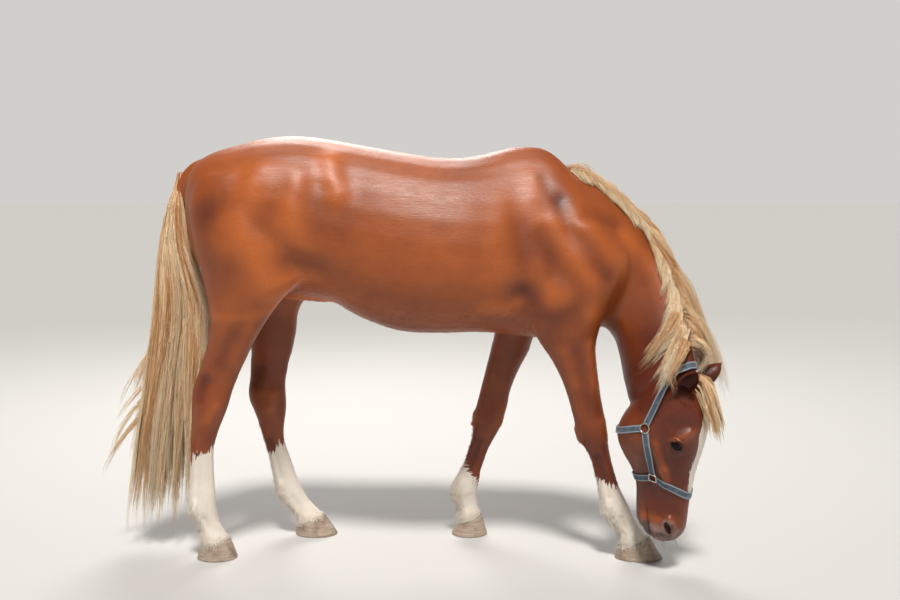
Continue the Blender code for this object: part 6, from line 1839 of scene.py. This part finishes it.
def tail_guides():
    """Locks from all round the dock, every fourth one much shorter."""
    guides = []
    for k in range(TAIL_GUIDES):
        angle = k * GOLDEN_ANGLE + between(-0.3, 0.3)
        share = k / (TAIL_GUIDES - 1)
        top = 1.405 - 0.5 * share ** 1.5
        tip = between(0.015, 0.15) if k % 4 else between(0.2, 0.5)
        ring = 0.3 + 0.86 * math.sqrt(draw.random())
        twist = between(-0.7, 0.7)
        path, facing = [], []
        for along in (n / (TAIL_POINTS - 1) for n in range(TAIL_POINTS)):
            out = ring * (0.25 + 0.75 * min(1, along * 9) ** 0.8)
            turn = angle + twist * along
            path.append(tail_place(top + (tip - top) * along, out * math.cos(turn), out * math.sin(turn)))
            facing.append(Vector((math.cos(turn), math.sin(turn), 0.0)))
        guides.append((path, facing, between(0.013, 0.022), 0.008, share))
    return guides


def wisp_guides():
    """Thin wisps that lift off the back of the tail."""
    guides = []
    for k in range(WISP_GUIDES):
        top = between(0.55, 1.02)
        tip = top - between(0.26, 0.4)
        reach = between(0.03, 0.12)
        path = []
        for along in (n / (TAIL_POINTS - 1) for n in range(TAIL_POINTS)):
            aside = between(-0.1, 0.1) + 0.4 * (-1) ** k
            place = tail_place(top + (tip - top) * along, -0.45 - 0.5 * min(1, 2 * along), aside)
            path.append(place + Vector((-reach * along ** 2 * (3 - 2 * along), 0, 0)))
        for _ in range(3):
            inner = [(a + b * 2 + c) / 4 for a, b, c in zip(path, path[1:], path[2:])]
            path = [path[0]] + inner + [path[-1]]
        facing = [Vector((0.3, 1, 0)).normalized()] * TAIL_POINTS
        guides.append((path, facing, 0.006, 0.003, k / WISP_GUIDES))
    return guides

# %% [markdown]
# Flaxen hair is cream at the tips and more golden at the roots, and every lock differs a little
# from its neighbour. Each strand carries its own tone, so the colour changes from hair to hair.

# %% Flaxen hair
CREAM, GOLD, BROWN, CHESTNUT_ROOT = ((0.95, 0.8, 0.57, 1), (0.8, 0.5, 0.22, 1), (0.5, 0.19, 0.06, 1),
                                     (0.27, 0.07, 0.018, 1))


def hair_colour_group():
    outputs = {"Color": "Color", "Roughness": "Float", "Height": "Float"}
    group, given, out = new_group("flaxen_hair", {"Warmth": "Float"}, outputs)
    tone, along = field_node(group, "tone"), field_node(group, "along")
    lengthwise = noise(group, here(group), 700.0, 2.0, size=(1, 1, 0.05))
    light = plus(group, tone, times(group, lengthwise, 0.35), times(group, along, 0.18))
    light = minus(group, light, given["Warmth"])
    colour = blend(group, stretch(group, light, 0.15, 0.6), BROWN, GOLD)
    colour = blend(group, stretch(group, light, 0.45, 0.95), colour, CREAM)
    root = stretch(group, plus(group, along, times(group, tone, 0.06)), 0.11, 0.02, True)
    colour = blend(group, times(group, root, 0.8), colour, CHESTNUT_ROOT)
    rough = stretch(group, lengthwise, -0.9, 1.7)
    fill(group, out, {"Color": colour, "Height": lengthwise, "Roughness": rough})
    return group


def hair_material(name, colours, warmth):
    material, tree, shader = new_material(name)
    hair = use_group(tree, colours, {"Warmth": warmth})
    fill(tree, shader, {"Specular IOR Level": 0.45, "Sheen Weight": 0.1, "Base Color": hair["Color"],
                        "Roughness": hair["Roughness"], "Normal": bump(tree, 0.25, 0.0006, hair["Height"])})
    return material


def hair_piece(name, guides, each, points, width, material, part, around, **looks):
    """One hair mesh from guides, with a tone for each lock and each strand."""
    paths, widths, facing, owner = strands_on(guides, each, points, width, **looks)
    lock_tone = dice.uniform(0.15, 0.75, len(guides))
    tone = lock_tone[owner] + dice.uniform(-0.22, 0.22, len(owner))
    shares = np.array([guide[4] for guide in guides])
    spots = unwrap_spots(part, shares[owner], around + 0.18 * dice.random(len(owner)))
    print(name, len(paths), "strands")
    return needles(name, paths, widths, facing, spots, material, {"tone": tone})


hair_colours = hair_colour_group()
mane_hair = hair_material("mane_hair", hair_colours, 0.0)
tail_hair = hair_material("tail_hair", hair_colours, 0.06)
body_tree = tree_of([skin] + list(straps.values()) + list(rings.values()))
loose = {"gather": 0.6, "ruffle": 0.007, "short": 0.55}
hairs = [
    hair_piece("mane_far", mane_guides(body_tree), 45, 8, 0.0009, mane_hair, "neck", 0.6, **loose),
    hair_piece("mane_near", fringe_guides(body_tree), 54, 8, 0.0008, mane_hair, "neck", 0.2, **loose),
    hair_piece("forelock", forelock_guides(body_tree), 46, 8, 0.0009, mane_hair, "head", 0.5, **loose),
]
all_tail = tail_guides()
full = {"gather": 0.55, "ruffle": 0.009, "short": 0.6}
for label, half_tail in (("tail_inner", all_tail[0::2]), ("tail_outer", all_tail[1::2])):
    hairs.append(hair_piece(label, half_tail, 66, 10, 0.0011, tail_hair, "tail", 0.1, **full))
hairs.append(hair_piece("tail_wisps", wisp_guides(), 22, 9, 0.0006, tail_hair, "tail", 0.6, ruffle=0.008))

# %% [markdown]
# Short hair that lies flat needs only bump. Where it breaks the outline it is mesh: on the ears,
# under the jaw, along the belly, behind the elbows, and over the fetlocks and coronets. Tufts start
# at random points of the skin, more of them where the share of their region is high.

# %% Tufts of short fur
def surface_samples(thing, chance):
    """Random places on the skin, so many per square metre as the chance says there."""
    mesh = thing.data
    mesh.calc_loop_triangles()
    corners = read(mesh.loop_triangles, "vertices", 3, int)
    places = vertex_places(mesh)
    a, b, c = (places[corners[:, k]] for k in range(3))
    normal = np.cross(b - a, c - a)
    area = norms(normal) / 2
    normal /= np.maximum(2 * area, 1e-12)[:, None]
    middle = (a + b + c) / 3
    owner = np.repeat(np.arange(len(area)), dice.poisson(area * chance(middle, normal)))
    u, v = dice.random(len(owner)), dice.random(len(owner))
    flip = u + v > 1
    u[flip], v[flip] = 1 - u[flip], 1 - v[flip]
    spots = a[owner] + (b - a)[owner] * u[:, None] + (c - a)[owner] * v[:, None]
    return spots, normal[owner]


def on_ear(places, side, from_root):
    """True for places on an ear, further than that from its root."""
    root, growth = (np.array(v) for v in ear_frame(side)[:2])
    along = (places - root) @ growth
    gap = norms(places - root - along[:, None] * growth)
    return (along > from_root) & (along < 0.16) & (gap < 0.055)


def lie_of_coat(places, normals):
    """The direction in which the short hair points, along the surface."""
    steep = steep_field(places)
    down, out, aside = in_head_frame(places)
    on_head = (down > -0.02) & (out > -0.33) & (np.abs(aside) < 0.14)
    flow = np.stack([-(1 - steep), np.zeros(len(places)), -0.25 - steep], axis=1)
    flow[on_head] = np.array([0.2, 0, -1.0])
    for side in SIDES:
        flow[on_ear(places, side, 0.006)] = np.array(ear_frame(side)[1])
    flow -= normals * np.sum(flow * normals, axis=1)[:, None]
    return flow / np.maximum(norms(flow), 1e-6)[:, None]


def make_tufts(name, number, share, length, stand, width, part):
    """Short curved tufts, so many per square metre where the share is 1. Their length, and how
    far they stand as a share of it, are pairs: the least, and what the full share adds."""
    spots, normals = surface_samples(skin, lambda p, n: number * share(p, n))
    flow = lie_of_coat(spots, normals)
    flow += dice.normal(0, 0.16, flow.shape)
    flow /= norms(flow)[:, None]
    thick = share(spots, normals)
    long = (length[0] + length[1] * thick) * dice.uniform(0.65, 1.2, len(spots))
    rise = (stand[0] + stand[1] * thick) * dice.uniform(0.5, 1.3, len(spots))
    paths = []
    for way in (0.0, 0.55, 1.0):
        lift = rise * math.sin(way * 1.9) - 0.06 * (way == 0)
        paths.append(spots + flow * (long * way)[:, None] + normals * (long * lift)[:, None])
    paths = np.stack(paths, axis=1)
    widths = width * dice.uniform(0.7, 1.3, len(spots))[:, None] * np.array([[0.8, 1.0, 0.0]])
    facing = np.repeat(normals[:, None, :], 3, axis=1)
    fields = {label: field(spots) for label, field in FIELDS.items()}
    along = (spots[:, 0] + 1.1) / 2.1 if part == "torso" else spots[:, 2] / 0.9
    around = (np.arctan2(spots[:, 1], spots[:, 2] - 0.4) / (2 * math.pi)) + 0.5
    print(name, len(spots), "tufts")
    unwrap = unwrap_spots(part, along, around)
    return needles(name, paths, widths, facing, unwrap, tuft_coat, fields, flat=0.3, round_off=False)


def ear_share(places, _):
    return capped(sum(1.0 * on_ear(places, side, -0.006) for side in SIDES))


def jaw_share(places, _):
    down, out, aside = in_head_frame(places)
    back = np.interp(down, [row[0] for row in HEAD], [row[2] for row in HEAD])
    jaw = capped(1 - (out - back) / 0.045) * (down > 0.05) * (down < 0.56) * (np.abs(aside) < 0.1)
    return jaw + 0.4 * muzzle_field(places)


def fetlock_share(places, _):
    share = np.zeros(len(places))
    for name in LEG_TABLES:
        behind = 1 - leg_shares(name, places)
        fetlock = np.exp(-((places[:, 2] - 0.15) / 0.055) ** 2) * (0.25 + 0.75 * (behind > 0.55))
        coronet = np.exp(-((places[:, 2] - 0.07) / 0.022) ** 2)
        tendon = 0.35 * (behind > 0.75) * (places[:, 2] < 0.45)
        share += on_leg(name, places) * capped(fetlock + coronet + tendon)
    return capped(share)


def belly_share(places, normals):
    under = capped(-normals[:, 2] - 0.45) * (places[:, 2] > 0.62) * (places[:, 0] < 0.62)
    elbow = near(places, (0.3, -0.16, 0.86), 0.07) + near(places, (0.24, 0.16, 0.86), 0.07)
    flank = near(places, (-0.5, -0.2, 0.97), 0.07) + near(places, (-0.48, 0.2, 0.97), 0.07)
    seat = near(places, (-0.9, 0.0, 1.15), 0.1)
    return capped(under * 1.6 + 0.5 * (elbow + flank + seat))


tuft_coat = coat_material("tuft_coat", coat_colours, 0.05, 0.1, 0.15)
tufts = [
    make_tufts("ear_fur", 175000, ear_share, (0.007, 0), (0.16, 0), 0.0004, "head"),
    make_tufts("face_fur", 52000, jaw_share, (0.0055, 0), (0.12, 0), 0.00035, "head"),
    make_tufts("fetlock_fur", 120000, fetlock_share, (0.009, 0.014), (0.12, 0.18), 0.0006, "legs"),
    make_tufts("belly_fur", 44000, belly_share, (0.01, 0), (0.12, 0), 0.00045, "torso"),
]

# %% [markdown]
# Single hairs frame the face: a row of dark lashes on each upper lid, which droop a little, and
# whiskers on the lips and chin. They are the same thin needles as the strands of the mane.

# %% Lashes and whiskers
LASHES = 54                # on each upper lid
WHISKERS_PER_AREA = 2600   # per square metre of the lips


def lash_paths(side):
    """Lashes along the upper lid's edge, that stand out and droop."""
    centre, outward, rearward, upward = eye_frame(side)
    paths, normals = [], []
    for k in range(LASHES):
        share = -0.92 + 1.84 * (k + draw.random()) / LASHES
        rise = EYE_SLIT[1] * (1 - share * share) ** 0.65
        root = centre + rearward * EYE_SLIT[0] * share + upward * (rise + 0.0015) + outward * 0.0225
        heading = (outward + rearward * share * 0.5 - upward * between(0.1, 0.5)).normalized()
        long = between(0.012, 0.02)
        paths.append([root + heading * long * s - upward * long * 0.35 * s * s for s in (0.0, 0.5, 1.0)])
        normals.append(upward)
    return paths, normals


def whisker_paths():
    spots, normals = surface_samples(skin, lambda p, n: WHISKERS_PER_AREA * (muzzle_field(p) > 0.6))
    paths = []
    for spot, ahead in zip(spots, (Vector(n) for n in normals)):
        long = between(0.018, 0.042)
        droop = Vector((between(-0.3, 0.3), between(-0.3, 0.3), -0.5))
        root = Vector(spot) - ahead * 0.001
        paths.append([root + (ahead * s + droop * s * s) * long for s in (0.0, 0.5, 1.0)])
    return paths, normals


def fine_hairs(name, made, width, dark):
    """A mesh of single hairs of the coat's material, as dark as asked."""
    paths = np.array([[tuple(p) for p in path] for path in made[0]])
    facing = np.repeat(np.array([tuple(n) for n in made[1]])[:, None, :], 3, axis=1)
    widths = np.full((len(paths), 3), width) * np.array([1.0, 0.8, 0.0])
    fields = {"white": -0.2, "muzzle": 0.0, "dark": dark, "relief": -1.0, "steep": 1.0}
    fields = {label: np.full(len(paths), value) for label, value in fields.items()}
    spots = unwrap_spots("head", dice.random(len(paths)), 0.9 + 0.1 * dice.random(len(paths)))
    print(name, len(paths), "hairs")
    return needles(name, paths, widths, facing, spots, tuft_coat, fields)


tufts += [
    fine_hairs("lashes_right", lash_paths(RIGHT), 0.00028, 1.0),
    fine_hairs("lashes_left", lash_paths(LEFT), 0.00028, 1.0),
    fine_hairs("whiskers", whisker_paths(), 0.00022, 0.5),
]

# %% [markdown]
# Then every mesh is moved from the stations' zero to the middle of the horse and hung on the
# root, and the solids that the pieces replace are hidden.

# %% Move, ride and hide the solids
def settle(piece):
    piece.data.transform(Matrix.Translation((*TO_MIDDLE, 0)))
    piece.data.update()
    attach(piece, "root")


skin.name = "horse_skin"
settle(skin)
flesh = ["torso", "neck", "head", "ear_right", "ear_left"]
flesh += [leg + part for leg in LEG_TABLES for part in ("_upper", "_lower")]
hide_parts(*flesh)
for label, eye in eyes.items():
    settle(eye)
    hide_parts("eye_" + label)
for name, hoof in hooves.items():
    settle(hoof)
    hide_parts(name + "_hoof")
for name, strap in straps.items():
    settle(strap)
    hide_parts(name)
for name, ring in rings.items():
    settle(ring)
    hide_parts(name)
for hair in hairs:
    settle(hair)
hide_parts("tail")
for tuft in tufts:
    settle(tuft)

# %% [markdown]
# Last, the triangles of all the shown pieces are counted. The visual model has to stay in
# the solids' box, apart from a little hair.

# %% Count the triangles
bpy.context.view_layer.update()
triangles = sum(len(p.vertices) - 2 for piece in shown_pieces() for p in piece.data.polygons)
print("triangles in all:", triangles)
